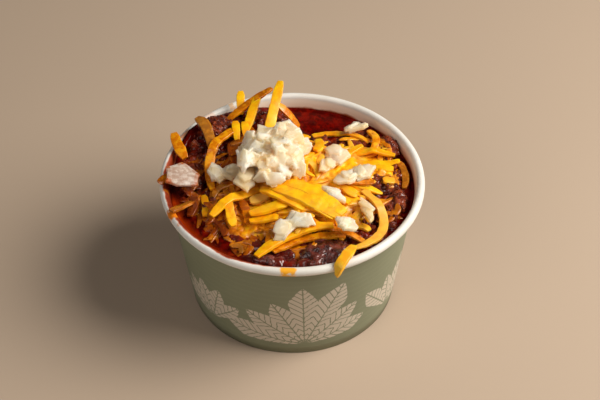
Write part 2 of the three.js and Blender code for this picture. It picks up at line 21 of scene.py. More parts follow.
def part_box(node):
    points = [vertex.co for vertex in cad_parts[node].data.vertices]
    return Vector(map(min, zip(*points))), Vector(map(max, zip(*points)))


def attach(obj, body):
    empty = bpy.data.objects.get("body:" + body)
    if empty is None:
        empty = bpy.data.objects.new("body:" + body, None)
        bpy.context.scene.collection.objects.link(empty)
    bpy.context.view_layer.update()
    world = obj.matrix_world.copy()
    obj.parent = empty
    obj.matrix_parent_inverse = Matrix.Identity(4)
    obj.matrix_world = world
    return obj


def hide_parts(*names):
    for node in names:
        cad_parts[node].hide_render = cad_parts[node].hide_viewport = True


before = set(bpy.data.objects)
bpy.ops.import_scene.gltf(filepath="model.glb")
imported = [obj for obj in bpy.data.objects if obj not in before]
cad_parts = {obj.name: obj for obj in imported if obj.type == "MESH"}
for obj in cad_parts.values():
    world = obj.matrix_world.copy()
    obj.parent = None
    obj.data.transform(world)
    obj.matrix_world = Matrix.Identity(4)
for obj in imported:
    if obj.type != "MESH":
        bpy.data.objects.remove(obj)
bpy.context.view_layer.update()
MM = 0.001

# %% [markdown]
# ## The view
#
# The camera comes first, because it decides how much detail each piece needs. It
# looks down on the cup from the front at about 43 degrees, as someone does who is
# about to eat. A 96 mm lens from three quarters of a metre keeps the rim's ellipse
# flat and the cup's sides nearly parallel, which a short lens would not.

# %% Place the camera
CAMERA_PLACE = Vector((0, -0.5057, 0.5283))
CAMERA_TARGET = Vector((0.0036, 0.0514, 0))  # a point on the floor behind the cup


def aim(thing, target):
    """Turns a camera or a light so that it looks at a point."""
    thing.rotation_euler = (target - thing.location).to_track_quat("-Z", "Y").to_euler()


def add_object(name, data):
    """Links a new object to the scene."""
    thing = bpy.data.objects.new(name, data)
    bpy.context.scene.collection.objects.link(thing)
    return thing


camera = add_object("camera", bpy.data.cameras.new("camera"))
camera.data.lens = 96
camera.data.sensor_width = 36
camera.location = CAMERA_PLACE
aim(camera, CAMERA_TARGET)
bpy.context.scene.camera = camera
print("Camera is", round((CAMERA_PLACE - CAMERA_TARGET).length, 3), "m from its target")

# %% [markdown]
# ## Node helpers
#
# Both the shapes and the finishes below are made of nodes. Writing
# `links.new(...)` for each wire soon hides what a tree does, so one helper adds a
# node, sets its options and fills its inputs, with a wire where the value is a
# socket and a plain value otherwise. Sums, products and soft steps get short names
# of their own. They aren't told the tree, because a socket knows which it is in.
# Colours are written as they look on a screen, 0 to 255, and turned into the
# linear values that shaders expect.

# %% Helpers for node trees
def screen(red, green, blue):
    """A screen colour as a linear RGBA value."""
    def linear(channel):
        share = channel / 255
        return share / 12.92 if share <= 0.04045 else ((share + 0.055) / 1.055) ** 2.4
    return (linear(red), linear(green), linear(blue), 1)


def fill(node, inputs):
    """Fills a node's inputs: with a wire where the value is a socket, or else with the value."""
    for key, value in inputs.items():
        if isinstance(value, bpy.types.NodeSocket):
            value.id_data.links.new(value, node.inputs[key])
        else:
            node.inputs[key].default_value = value


def add_node(tree, kind, inputs=None, **options):
    """Adds a node with its options set and its inputs filled."""
    node = tree.nodes.new(kind)
    for option, value in options.items():
        setattr(node, option, value)
    fill(node, inputs or {})
    return node


def count_nodes(made):
    """Prints how many nodes a tree or a material has."""
    print(made.name, "has", len(getattr(made, "node_tree", made).nodes), "nodes")


def tree_of(*values):
    """The tree of the first socket among some values."""
    return next(value.id_data for value in values if isinstance(value, bpy.types.NodeSocket))


def maths(operation, *values, clamp=False):
    """The result of a Math node."""
    node = add_node(tree_of(*values), "ShaderNodeMath", dict(enumerate(values)), operation=operation)
    node.use_clamp = clamp
    return node.outputs[0]


def plus(first, second, clamp=False):
    """The sum of two values."""
    return maths("ADD", first, second, clamp=clamp)


def minus(first, second):
    """What is left of a value when another is taken away."""
    return maths("SUBTRACT", first, second)


def times(first, *others):
    """The product of values."""
    for other in others:
        first = maths("MULTIPLY", first, other)
    return first


def hypotenuse(across, up):
    """The length of a vector with two parts."""
    return maths("SQRT", plus(maths("POWER", across, 2.0), maths("POWER", up, 2.0)))


def fade(value, low, high, out_low=0.0, out_high=1.0):
    """A smooth step of a value from low to high."""
    node = add_node(tree_of(value, low, high), "ShaderNodeMapRange", {
        "Value": value, "From Min": low, "From Max": high, "To Min": out_low, "To Max": out_high,
    }, interpolation_type="SMOOTHSTEP")
    return node.outputs["Result"]


def mix(factor, first, second):
    """A mix of two colours."""
    node = add_node(factor.id_data, "ShaderNodeMix", {0: factor, 6: first, 7: second}, data_type="RGBA")
    return node.outputs[2]


def noise(vector, scale, detail=2.0, roughness=0.5, distortion=0.0):
    """The value of a Noise texture, with its scale in bumps per metre."""
    node = add_node(vector.id_data, "ShaderNodeTexNoise", {
        "Vector": vector, "Scale": scale, "Detail": detail, "Roughness": roughness, "Distortion": distortion,
    })
    return node.outputs["Fac"]


print("Pure red is", screen(255, 0, 0), "to a shader")

# %% [markdown]
# A finish that several materials share is a *node group*, with named sockets for
# what goes in and what comes out. The shader itself stays in each material.
# Patterns follow the object's own coordinates or its attributes, so none slides.

# %% Helpers for groups and materials
FLOAT = "NodeSocketFloat"
VECTOR = "NodeSocketVector"


def new_group(name, inputs, outputs):
    """A shader node group with float or vector sockets; returns the tree and both ends."""
    tree = bpy.data.node_groups.new(name, "ShaderNodeTree")
    for label, kind in inputs.items():
        tree.interface.new_socket(label, in_out="INPUT", socket_type=kind)
    for label, kind in outputs.items():
        tree.interface.new_socket(label, in_out="OUTPUT", socket_type=kind)
    return tree, add_node(tree, "NodeGroupInput").outputs, add_node(tree, "NodeGroupOutput")


def from_group(group, inputs):
    """The outputs of a node group whose inputs are filled."""
    return add_node(tree_of(*inputs.values()), "ShaderNodeGroup", inputs, node_tree=group).outputs


def new_material(name, **values):
    """A material; returns it, its tree and its Principled shader with plain values set."""
    material = bpy.data.materials.new(name)
    material.use_nodes = True
    tree = material.node_tree
    shader = tree.nodes["Principled BSDF"]
    fill(shader, {label.replace("_", " "): value for label, value in values.items()})
    return material, tree, shader


def add_bump(shader, height, strength, distance):
    """Roughens a finish by a height; the distance is in metres."""
    bump = add_node(height.id_data, "ShaderNodeBump", {"Height": height, "Strength": strength, "Distance": distance})
    fill(shader, {"Normal": bump.outputs[0]})


def attribute(tree, name):
    """The value of a named attribute of the mesh."""
    return add_node(tree, "ShaderNodeAttribute", attribute_name=name).outputs["Fac"]


def place_of(tree):
    """Object coordinates, in metres."""
    return add_node(tree, "ShaderNodeTexCoord").outputs["Object"]


def round_the_axis(place):
    """A place as its radius, its bearing from 0 to 2 pi and its height."""
    split = add_node(place.id_data, "ShaderNodeSeparateXYZ", {0: place}).outputs
    bearing = maths("WRAP", maths("ARCTAN2", split["Y"], split["X"]), 2 * math.pi, 0.0)
    return hypotenuse(split["X"], split["Y"]), bearing, split["Z"]


def away_from(bearing, degrees):
    """How far a bearing is from one in degrees, in radians."""
    return maths("ABSOLUTE", minus(bearing, math.radians(degrees)))


print("Group sockets are of the kinds", FLOAT, "and", VECTOR)

# %% [markdown]
# ## Shape helpers
#
# Most food here is rough in a way that no single modifier gives. So its surface
# is worked out as numbers first: *soft noise* gives gentle swells, and *crumb
# noise* gives packed round grains with creases between them, like mince. Both
# hash the cell that a point is in, so they come out the same on every run, and
# both work on a whole array of points at once, which is quick. Much of the food
# also changes round the cup, so a soft step says how near a bearing is to another.

# %% Noise on arrays of points
def cell_random(cells, seed):
    """A random number from 0 to 1 for each cell of an N by 3 array of whole numbers."""
    x, y, z = (cells[:, axis].astype(np.int64).astype(np.uint64) for axis in range(3))
    mixed = x * np.uint64(73856093) ^ y * np.uint64(19349663) ^ z * np.uint64(83492791)
    mixed = (mixed + np.uint64(seed * 7919 + 1)) * np.uint64(6364136223846793005)
    mixed ^= mixed >> np.uint64(29)
    mixed *= np.uint64(1442695040888963407)
    return (mixed >> np.uint64(40)).astype(float) / 2 ** 24


def soft_noise(points, size, seed):
    """Gentle swells from 0 to 1, of about the given size."""
    place = points / size
    cell = np.floor(place)
    share = place - cell
    share = share * share * (3 - 2 * share)
    total = np.zeros(len(points))
    for corner in itertools.product((0, 1), repeat=3):
        weight = np.prod(np.where(corner, share, 1 - share), axis=1)
        total += weight * cell_random(cell + corner, seed)
    return total


def crumb_noise(points, size, seed):
    """Distance to the nearest crumb's centre, in crumb sizes, and that crumb's own number."""
    place = points / size
    home = np.floor(place)
    nearest = np.full(len(points), 9.0)
    own = np.zeros(len(points))
    for step in itertools.product((-1, 0, 1), repeat=3):
        cell = home + step
        offset = np.stack([cell_random(cell, seed + axis) for axis in range(3)], axis=1)
        distance = np.linalg.norm(place - cell - offset, axis=1)
        closer = distance < nearest
        nearest = np.where(closer, distance, nearest)
        own = np.where(closer, cell_random(cell, seed + 3), own)
    return nearest, own


def domes(points, size, seed, share):
    """Round grains from 0 to 1 high; share says how many of the cells hold one."""
    nearest, own = crumb_noise(points, size, seed)
    return np.sqrt(np.clip(1 - (nearest / 0.72) ** 2, 0, 1)) * (own < share) * (0.5 + 0.5 * own / share)


def warped(points, amount, size, seed):
    """Points moved about at random, smoothly, which makes round grains irregular."""
    moves = [soft_noise(points, size, seed + axis) - 0.5 for axis in range(3)]
    return points + 2 * amount * np.stack(moves, axis=1)


def smoothstep(value, low, high):
    """0 below low, 1 above high and an even curve between."""
    share = np.clip((value - low) / (high - low), 0, 1)
    return share * share * (3 - 2 * share)


def near_bearing(degrees, middle, inner, outer):
    """1 where a bearing is less than inner degrees from the middle one, fading to 0 at outer."""
    return 1 - smoothstep(np.abs(degrees - middle), inner, outer)


print("Soft noise of one point:", round(soft_noise(np.array([[1.0, 2.0, 3.0]]), 2, 5)[0], 3))

# %% [markdown]
# ## Mesh helpers
#
# These helpers read and write a piece's points in millimetres. They also store
# what a finish has to know about each vertex, such as how meaty the chili is
# there, as an *attribute*, which materials and node trees read by its name.

# %% Helpers for points and attributes
def new_piece(name, points, faces=(), edges=()):
    """A smooth-shaded object from points in millimetres."""
    mesh = bpy.data.meshes.new(name)
    mesh.from_pydata((np.asarray(points) * MM).tolist(), edges, faces)
    mesh.shade_smooth()
    return add_object(name, mesh)


def points_of(piece):
    """The vertices of a mesh piece, in millimetres."""
    flat = np.empty(len(piece.data.vertices) * 3)
    piece.data.vertices.foreach_get("co", flat)
    return flat.reshape(-1, 3) / MM


def normals_of(piece):
    """The vertex normals of a mesh piece."""
    flat = np.empty(len(piece.data.vertices) * 3)
    piece.data.vertex_normals.foreach_get("vector", flat)
    return flat.reshape(-1, 3)


def set_points(piece, points):
    """Moves the vertices of a mesh piece to points in millimetres."""
    piece.data.vertices.foreach_set("co", (points * MM).ravel())
    piece.data.update()


def set_attribute(piece, name, values):
    """Stores one number or one vector for each vertex."""
    values = np.asarray(values, dtype=np.float32)
    kind, field = ("FLOAT", "value") if values.ndim == 1 else ("FLOAT_VECTOR", "vector")
    found = piece.data.attributes.get(name) or piece.data.attributes.new(name, kind, "POINT")
    found.data.foreach_set(field, values.ravel())


def values_of(piece, name):
    """The numbers stored under a name, one for each vertex."""
    values = np.empty(len(piece.data.vertices))
    piece.data.attributes[name].data.foreach_get("value", values)
    return values


print("The floor's solid has", len(points_of(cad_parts["cup_floor"])), "vertices")

# %% [markdown]
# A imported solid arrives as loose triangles. To reuse its shape, a copy is welded
# first. A voxel remesh then turns the welded copy into even little squares that
# can be pushed about, as a sculptor's clay can. A remesh also melts parts that
# overlap into one skin. It forgets what was stored at the vertices, so each new
# one takes that over from the nearest old one. The specks that it can leave are
# deleted, and the skin is softened a little.

# %% Helpers for welding, remeshing and fusing
def settle_modifiers(piece):
    """Turns the modifiers of a piece into its plain mesh."""
    bpy.context.view_layer.update()
    graph = bpy.context.evaluated_depsgraph_get()
    mesh = bpy.data.meshes.new_from_object(piece.evaluated_get(graph))
    piece.modifiers.clear()
    piece.data = mesh


def packed_mesh(nodes):
    """The vertices, in millimetres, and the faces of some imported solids."""
    points, faces = [], []
    for node in nodes:
        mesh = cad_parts[node].data
        start = len(points)
        points += [vertex.co / MM for vertex in mesh.vertices]
        faces += [[start + index for index in polygon.vertices] for polygon in mesh.polygons]
    return points, faces


def welded_copy(name, nodes):
    """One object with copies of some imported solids, their corners welded."""
    piece = new_piece(name, *packed_mesh(nodes))
    weld = piece.modifiers.new("weld", "WELD")
    weld.merge_threshold = 0.01 * MM
    settle_modifiers(piece)
    return piece


def remesh(piece, size):
    """Turns a closed piece into even squares of a size in millimetres."""
    modifier = piece.modifiers.new("remesh", "REMESH")
    modifier.mode = "VOXEL"
    modifier.voxel_size = size * MM
    modifier.use_smooth_shade = True
    settle_modifiers(piece)


def drop_specks(piece, fewest=100):
    """Deletes the closed bits of fewer than so many vertices that a remesh can leave behind."""
    mesh = bmesh.new()
    mesh.from_mesh(piece.data)
    seen, specks = set(), []
    for first in mesh.verts:
        if first in seen:
            continue
        seen.add(first)
        island = [first]
        for vertex in island:
            near = {edge.other_vert(vertex) for edge in vertex.link_edges} - seen
            seen |= near
            island += sorted(near, key=lambda other: other.index)
        if len(island) < fewest:
            specks += island
    bmesh.ops.delete(mesh, geom=specks, context="VERTS")
    mesh.to_mesh(piece.data)
    mesh.free()


def fuse(piece, size, names):
    """Melts overlapping parts into one softened skin that keeps the named attributes."""
    old = points_of(piece)
    kept = {name: values_of(piece, name) for name in names}
    finder = KDTree(len(old))
    for index, point in enumerate(old):
        finder.insert(point, index)
    finder.balance()
    remesh(piece, size)
    drop_specks(piece)
    nearest = np.array([finder.find(point)[1] for point in points_of(piece)])
    for name, values in kept.items():
        set_attribute(piece, name, values[nearest])
    modifier = piece.modifiers.new("soften", "SMOOTH")
    modifier.factor, modifier.iterations = 0.5, 2
    settle_modifiers(piece)


print("The heap's solid has", len(packed_mesh(["onion_heap"])[1]), "triangles")

# %% [markdown]
# A finished piece rides on the part's only body and gets its material, if it is
# given one. The imported solids that it stands for are then hidden.

# %% Helpers for finished pieces
def numbered(stem):
    """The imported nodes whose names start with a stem, in order."""
    return sorted(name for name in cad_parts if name.startswith(stem))


def dress(piece, nodes, material=None):
    """Gives a finished piece its material, if one is given, and its body, and hides the nodes that it stands for."""
    if material:
        piece.data.materials.clear()
        piece.data.materials.append(material)
    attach(piece, "root")
    if nodes:
        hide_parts(*nodes)
    print(piece.name, "has", len(piece.data.polygons), "faces")


print("The beef solids:", numbered("beef"))

# %% [markdown]
# ## Geometry Nodes helpers
#
# Shreds, crumbs and dice are many of a kind, so Geometry Nodes make them. A tree
# is built once, with named inputs. When it runs, each input is set by its
# socket's identifier, the result becomes a plain mesh, and the modifier goes.

# %% Build and run a geometry tree
WHOLE = "NodeSocketInt"
COLLECTION = "NodeSocketCollection"


def new_tree(name, inputs):
    """A geometry tree; returns it, its inputs and a function that ends it."""
    tree = bpy.data.node_groups.new(name, "GeometryNodeTree")
    tree.interface.new_socket("Geometry", in_out="INPUT", socket_type="NodeSocketGeometry")
    for label, kind in inputs.items():
        tree.interface.new_socket(label, in_out="INPUT", socket_type=kind)
    tree.interface.new_socket("Material", in_out="INPUT", socket_type="NodeSocketMaterial")
    tree.interface.new_socket("Geometry", in_out="OUTPUT", socket_type="NodeSocketGeometry")
    source = add_node(tree, "NodeGroupInput").outputs

    def end(geometry):
        """Realizes, shades smooth, sets the material and wires the output."""
        real = add_node(tree, "GeometryNodeRealizeInstances", {0: geometry}).outputs[0]
        smooth = add_node(tree, "GeometryNodeSetShadeSmooth", {0: real}).outputs[0]
        painted = add_node(tree, "GeometryNodeSetMaterial", {0: smooth, "Material": source["Material"]})
        add_node(tree, "NodeGroupOutput", {0: painted.outputs[0]})

    return tree, source, end


def run_tree(piece, tree, **values):
    """Runs a tree on a piece and keeps the plain mesh. Underscores stand for spaces."""
    modifier = piece.modifiers.new(tree.name, "NODES")
    modifier.node_group = tree
    wanted = {label.replace("_", " "): value for label, value in values.items()}
    for item in tree.interface.items_tree:
        if item.in_out == "INPUT" and item.name in wanted:
            modifier[item.identifier] = wanted.pop(item.name)
    if wanted:
        raise ValueError(f"{tree.name} has no input {sorted(wanted)}")
    settle_modifiers(piece)


print("Every tree ends in real, smooth and painted geometry")

# %% [markdown]
# A few things come back in these trees: an attribute read by its name, how far a
# face looks up, objects to copy, random turns and sizes, and points that move.

# %% Helpers inside geometry trees
def named_value(tree, name, kind="FLOAT"):
    """The value of a named attribute."""
    return add_node(tree, "GeometryNodeInputNamedAttribute", {"Name": name}, data_type=kind).outputs[0]


def upwardness(tree):
    """1 where a face looks up, 0 where it is upright and -1 where it looks down."""
    normal = add_node(tree, "GeometryNodeInputNormal").outputs[0]
    return add_node(tree, "ShaderNodeSeparateXYZ", {0: normal}).outputs["Z"]


def members(collection):
    """The objects of a collection, to be picked from one by one."""
    return add_node(collection.id_data, "GeometryNodeCollectionInfo", {
        "Collection": collection, "Separate Children": True, "Reset Children": True,
    }).outputs[0]


def random_vector(tree, low, high, seed=0):
    """A vector between two others, of its own for each point."""
    return add_node(tree, "FunctionNodeRandomValue", {"Min": low, "Max": high, "Seed": seed},
                    data_type="FLOAT_VECTOR").outputs[0]


def moved_along(geometry, direction, distance):
    """The geometry with its points moved a distance along a direction."""
    tree = geometry.id_data
    shift = add_node(tree, "ShaderNodeVectorMath", {0: direction, "Scale": distance}, operation="SCALE").outputs[0]
    return add_node(tree, "GeometryNodeSetPosition", {"Geometry": geometry, "Offset": shift}).outputs[0]


print("Geometry helpers are ready")

# %% [markdown]
# ## The paper finish
#
# Cup paper is board with a thin plastic coat: satin, very slightly fibrous, and
# never quite flat. The wall and the floor share that, so it is a node group. It
# puts out a mottle that varies the colour and a height for the bump.

# %% Node group: paper fibre
def make_paper_fibre():
    """Mottle and height of coated board."""
    tree, source, result = new_group("paper fibre", {"Place": VECTOR}, {"Mottle": FLOAT, "Height": FLOAT})
    cloudy = noise(source["Place"], 90, 3)
    fibres = noise(source["Place"], 2600, 2)
    ripple = noise(source["Place"], 160, 1)
    fill(result, {"Mottle": fade(cloudy, 0.3, 0.7), "Height": plus(times(fibres, 0.12), ripple)})
    return tree


PAPER_BUMP = (0.12, 0.0006)  # strength, and distance in metres
paper_fibre = make_paper_fibre()
count_nodes(paper_fibre)

# %% [markdown]
# ## The print
#
# The outside is sage green, with sprays of pale leaves. A spray could be a
# texture image, but a rule stays crisp at any size. Around a spray's centre, the
# angle is folded into equal sectors, and one leaf is drawn in each: an almond
# between an inner and an outer radius, with its midrib left out. Each sector has
# its own random length, so that no two leaves match.

# %% Node group: leaf spray
def make_leaf_spray():
    """Mask of a fan of leaves on the unrolled wall, with lengths in metres."""
    tree, source, result = new_group("leaf spray", {
        "Along": FLOAT, "Height": FLOAT, "Centre Along": FLOAT, "Centre Height": FLOAT,
        "Turn": FLOAT, "Spread": FLOAT, "Leaves": FLOAT, "Reach": FLOAT, "Fatness": FLOAT,
    }, {"Mask": FLOAT})
    across = minus(source["Along"], source["Centre Along"])
    up = minus(source["Height"], source["Centre Height"])
    bearing = minus(maths("ARCTAN2", up, across), source["Turn"])
    bearing = maths("WRAP", bearing, math.pi, -math.pi)
    radius = hypotenuse(across, up)
    sector = maths("DIVIDE", times(source["Spread"], 2.0), source["Leaves"])
    place = maths("DIVIDE", plus(bearing, source["Spread"]), sector)
    index = maths("FLOOR", place)
    own = add_node(tree, "ShaderNodeTexWhiteNoise", {"W": plus(index, source["Centre Along"])},
                   noise_dimensions="1D").outputs["Value"]
    offset = times(minus(maths("FRACT", place), 0.5), sector)
    sideways = times(maths("SINE", offset), radius)
    length = times(source["Reach"], plus(0.72, times(own, 0.28)))
    share = maths("DIVIDE", radius, length)
    belly = maths("SINE", times(maths("POWER", share, 1.3), math.pi))
    half = times(belly, length, source["Fatness"])
    distance = maths("ABSOLUTE", sideways)
    inside = fade(minus(half, distance), 0.0, 0.0003)
    rib = fade(distance, 0.0001, 0.0005)
    veins = maths("SINE", times(minus(radius, distance), 1900.0))
    vein = fade(veins, -0.95, -0.75)
    tip = maths("LESS_THAN", share, 1.0)
    fan = maths("LESS_THAN", maths("ABSOLUTE", bearing), source["Spread"])
    fill(result, {"Mask": times(inside, rib, vein, tip, fan)})
    return tree


leaf_spray = make_leaf_spray()
count_nodes(leaf_spray)

# %% [markdown]
# ## The cup wall
#
# The wall is one sheet of paper, rolled outwards at the rim. Its section is a
# closed line; sweeping it round a circle gives the wall. A Screw modifier could do
# that too, but a node tree also lifts the overlapping seam at the back and gives
# the roll the slight waviness of real paper, in one place and with named sizes.
# The sweep comes out with its faces turned in, so the tree flips them at its end.

# %% Section of the wall
wall_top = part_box("cup_wall")[1] / MM
CUP_HEIGHT = wall_top.z
RIM_RADIUS = 57
ROLL_WIDTH = 3.5
ROLL_HEIGHT = 4
FOOT_RADIUS = 45.5
PAPER = 0.6
CUFF_HEIGHT = 6
CUFF_INSET = 1.7  # from the wall's inner face to the cuff's inner face
WALL_ROWS = 12
ROLL_STEPS = 20
ROLL_FROM, ROLL_TO = -0.8 * math.pi, 0.97 * math.pi  # the roll is a closed loop but for a slit
WALL_TOP_RADIUS = RIM_RADIUS - ROLL_WIDTH + PAPER


def outer_radius(height):
    """Outside radius of the tapered wall."""
    return FOOT_RADIUS + (WALL_TOP_RADIUS - FOOT_RADIUS) * height / CUP_HEIGHT


def inner_radius(height):
    """Inside radius of the tapered wall."""
    return outer_radius(height) - PAPER


def wall_section():
    """The wall's closed section as [radius, height], from the foot up and back down."""
    roll_bottom = CUP_HEIGHT - ROLL_HEIGHT
    section = [[outer_radius(z), z] for z in np.linspace(0, roll_bottom, WALL_ROWS)]
    for angle in np.linspace(ROLL_FROM, ROLL_TO, ROLL_STEPS):
        section.append([
            RIM_RADIUS - ROLL_WIDTH / 2 + ROLL_WIDTH / 2 * math.cos(angle),
            CUP_HEIGHT - ROLL_HEIGHT / 2 + ROLL_HEIGHT / 2 * math.sin(angle),
        ])
    section += [[inner_radius(z), z] for z in np.linspace(roll_bottom, PAPER, WALL_ROWS)]
    section.append([inner_radius(PAPER) - CUFF_INSET + PAPER, PAPER])
    section.append([inner_radius(CUFF_HEIGHT) - CUFF_INSET + PAPER, CUFF_HEIGHT])
    section.append([inner_radius(CUFF_HEIGHT) - CUFF_INSET, CUFF_HEIGHT])
    section.append([inner_radius(0) - CUFF_INSET, 0])
    return section


print("The wall's section has", len(wall_section()), "corners")


# %% Tree: sweep a section round the axis
def make_turned_paper():
    """Sweeps a section round Z, lifts a seam at one bearing, adds a slight waviness and turns the faces out."""
    tree, source, end = new_tree("turned paper", {
        "Sides": WHOLE, "Radius": FLOAT, "Seam Bearing": FLOAT, "Seam Width": FLOAT, "Seam Lift": FLOAT,
        "Waviness": FLOAT,
    })
    section = add_node(tree, "GeometryNodeMeshToCurve", {0: source["Geometry"]}).outputs[0]
    circle = add_node(tree, "GeometryNodeCurvePrimitiveCircle", {
        "Resolution": source["Sides"], "Radius": source["Radius"],
    }).outputs[0]
    swept = add_node(tree, "GeometryNodeCurveToMesh", {"Curve": circle, "Profile Curve": section}).outputs[0]
    place = add_node(tree, "GeometryNodeInputPosition").outputs[0]
    split = add_node(tree, "ShaderNodeSeparateXYZ", {0: place}).outputs
    bearing = maths("ARCTAN2", split["Y"], split["X"])
    away = maths("ABSOLUTE", minus(bearing, source["Seam Bearing"]))
    lift = times(maths("LESS_THAN", away, source["Seam Width"]), source["Seam Lift"])
    wave = times(minus(noise(place, 28, 1), 0.5), source["Waviness"])
    outwards = add_node(tree, "ShaderNodeCombineXYZ", {"X": split["X"], "Y": split["Y"]}).outputs[0]
    unit = add_node(tree, "ShaderNodeVectorMath", {0: outwards}, operation="NORMALIZE").outputs[0]
    moved = moved_along(swept, unit, plus(lift, wave))
    end(add_node(tree, "GeometryNodeFlipFaces", {0: moved}).outputs[0])
    return tree


turned_paper = make_turned_paper()
count_nodes(turned_paper)

# %% [markdown]
# Hot oil has left marks inside the cup. Its tide line is strongest on the left,
# where the oil climbed onto the roll, and faint on the right. Here and there a
# smear of oil or cheese lies on the roll. All of them are masks from a place's
# height, radius and bearing, with edges made ragged by noise. Painting them would
# take an image, which can't follow a change of size.

# %% Stains on the inside and the roll
STAIN_BEARING = 213  # degrees; the oil climbed highest there
RIGHT_STAIN = (0.956, 0.292, 0.0)  # the way to the fainter stain on the right
TIDE_HEIGHT = 0.0581  # how high the oil stood on the inner wall, in metres
TIDE_RADIUS = 0.0542  # how far out it reached on the roll
ROLL_START = (0.0588, 0.0594)  # the heights between which the wall becomes the roll
OIL_SMEARS = [
    # bearing in degrees, half width in degrees, radius from and to in mm, strength
    (157, 2.4, 53, 57.2, 0.8), (182, 2.4, 53, 57.2, 0.7), (204.5, 3.4, 53, 57.3, 1.0), (189, 1.2, 53, 56.2, 0.5),
    (134, 5.0, 53, 56.0, 0.3), (212, 0.9, 55.6, 56.6, 0.6), (150, 4.0, 53, 55.9, 0.7),
]
CHEESE_SMEARS = [(268, 3.8, 54.6, 57.3, 1.0), (120, 1.6, 53.5, 56.5, 0.5)]


def smears(bearing, radius, ragged, patches):
    """Mask of ragged patches on the roll."""
    total = None
    for middle, half, nearest, farthest, strength in patches:
        away = plus(away_from(bearing, middle), times(ragged, 0.07))
        inside = fade(away, math.radians(half), math.radians(half) * 0.6, 0.0, strength)
        outer = plus(farthest * MM, times(ragged, 0.002))
        inside = times(inside, fade(radius, outer, minus(outer, 0.0005)))
        inside = times(inside, fade(radius, nearest * MM, (nearest + 0.4) * MM))
        total = inside if total is None else maths("MAXIMUM", total, inside)
    return total


def painted_bounce_and_stain_inside(colour, place, height, wobble, inside):
    """Paints warm bounce light from the food on the inner wall's white, lighter below the roll and warmer lower down;
    then adds the faint oil stain on the right.
    """
    # Painted light: the inside is made lighter than the board, as bounce light from the food would light it.
    colour = mix(times(fade(height, 0.062, 0.0605), inside), colour, screen(252, 234, 212))
    # Painted warm bounce light from the food, lower down the inner wall.
    colour = mix(times(fade(height, 0.0605, 0.058, 0.0, 0.22), inside), colour, screen(230, 160, 96))
    # The faint oil stain on the right.
    right = add_node(place.id_data, "ShaderNodeVectorMath", {0: place, 1: RIGHT_STAIN}, operation="DOT_PRODUCT")
    right = times(fade(right.outputs["Value"], 0.045, 0.051), inside)
    low = fade(plus(height, wobble), 0.0612, 0.0577, 0.0, 0.7)
    return mix(times(right, low), colour, screen(226, 120, 40))


def stain_inside(colour, place, radius, bearing, height, inside):
    """Adds painted warm bounce light to the inner wall, the oil's tide line to the inner wall and the roll, and the
    smears on the roll.
    """
    wobble = times(minus(noise(place, 110, 3), 0.5), 0.003)
    ragged = minus(noise(place, 420, 3), 0.5)
    left = fade(away_from(bearing, STAIN_BEARING), 1.15, 0.6)
    top = plus(plus(TIDE_HEIGHT, wobble), times(left, 0.003))
    sunk = minus(top, height)
    below = times(fade(sunk, 0.0, 0.0013), inside)
    crest = plus(plus(TIDE_RADIUS, wobble), times(left, 0.0016))
    inwards = minus(crest, radius)
    upper = fade(height, *ROLL_START)
    on_roll = times(fade(inwards, 0.0, 0.0007), times(upper, fade(left, 0.0, 0.5)))
    streaks = fade(noise(place, 260, 4, 0.6, 0.8), 0.35, 0.6, 0.7, 1.0)
    thick = maths("MAXIMUM", fade(sunk, 0.0003, 0.003), times(left, fade(inwards, 0.0004, 0.0012)))
    oil = mix(times(thick, streaks), screen(172, 68, 12), screen(112, 26, 2))
    colour = painted_bounce_and_stain_inside(colour, place, height, wobble, inside)
    colour = mix(maths("MAXIMUM", below, on_roll), colour, oil)
    oily = times(smears(bearing, radius, ragged, OIL_SMEARS), upper)
    cheesy = times(smears(bearing, radius, ragged, CHEESE_SMEARS), upper)
    return mix(cheesy, mix(oily, colour, screen(222, 122, 6)), screen(248, 172, 30))


print("The roll has", len(OIL_SMEARS), "smears of oil and", len(CHEESE_SMEARS), "of cheese")

# %% [markdown]
# The printed material reads where it is: below the roll and outside it is green,
# with the sprays and faint lines; the roll and the inside stay white but for the
# stains, and the inside also gets painted warm bounce light from the food. So one
# material serves the whole sheet.

# %% Material: printed paper
SPRAYS = [
    # bearing round the cup in degrees, height, turn of the fan, spread, leaves, reach, fatness
    (222, 9, 100, 70, 5, 30, 0.2),
    (276, 7, 92, 86, 7, 43, 0.19),
    (330, 8, 70, 75, 5, 31, 0.2),
    (18, 9, 85, 88, 7, 45, 0.19),
    (74, 8, 60, 70, 5, 26, 0.2),
    (128, 9, 95, 88, 7, 45, 0.19),
    (178, 12, 110, 70, 5, 28, 0.2),
]
PRINT_RADIUS = 50  # the wall's mean radius, which turns a bearing into a length
LINE_SPACING = 3.4


def leaf_sprays(along, height):
    """Mask of all the sprays, on the unrolled wall."""
    printed = None
    for bearing, centre_height, turn, spread, leaves, reach, fatness in SPRAYS:
        spray = from_group(leaf_spray, {
            "Along": along, "Height": height,
            "Centre Along": math.radians(bearing) * PRINT_RADIUS * MM, "Centre Height": centre_height * MM,
            "Turn": math.radians(turn), "Spread": math.radians(spread), "Leaves": float(leaves),
            "Reach": reach * MM, "Fatness": fatness,
        })["Mask"]
        printed = spray if printed is None else maths("MAXIMUM", printed, spray)
    return printed


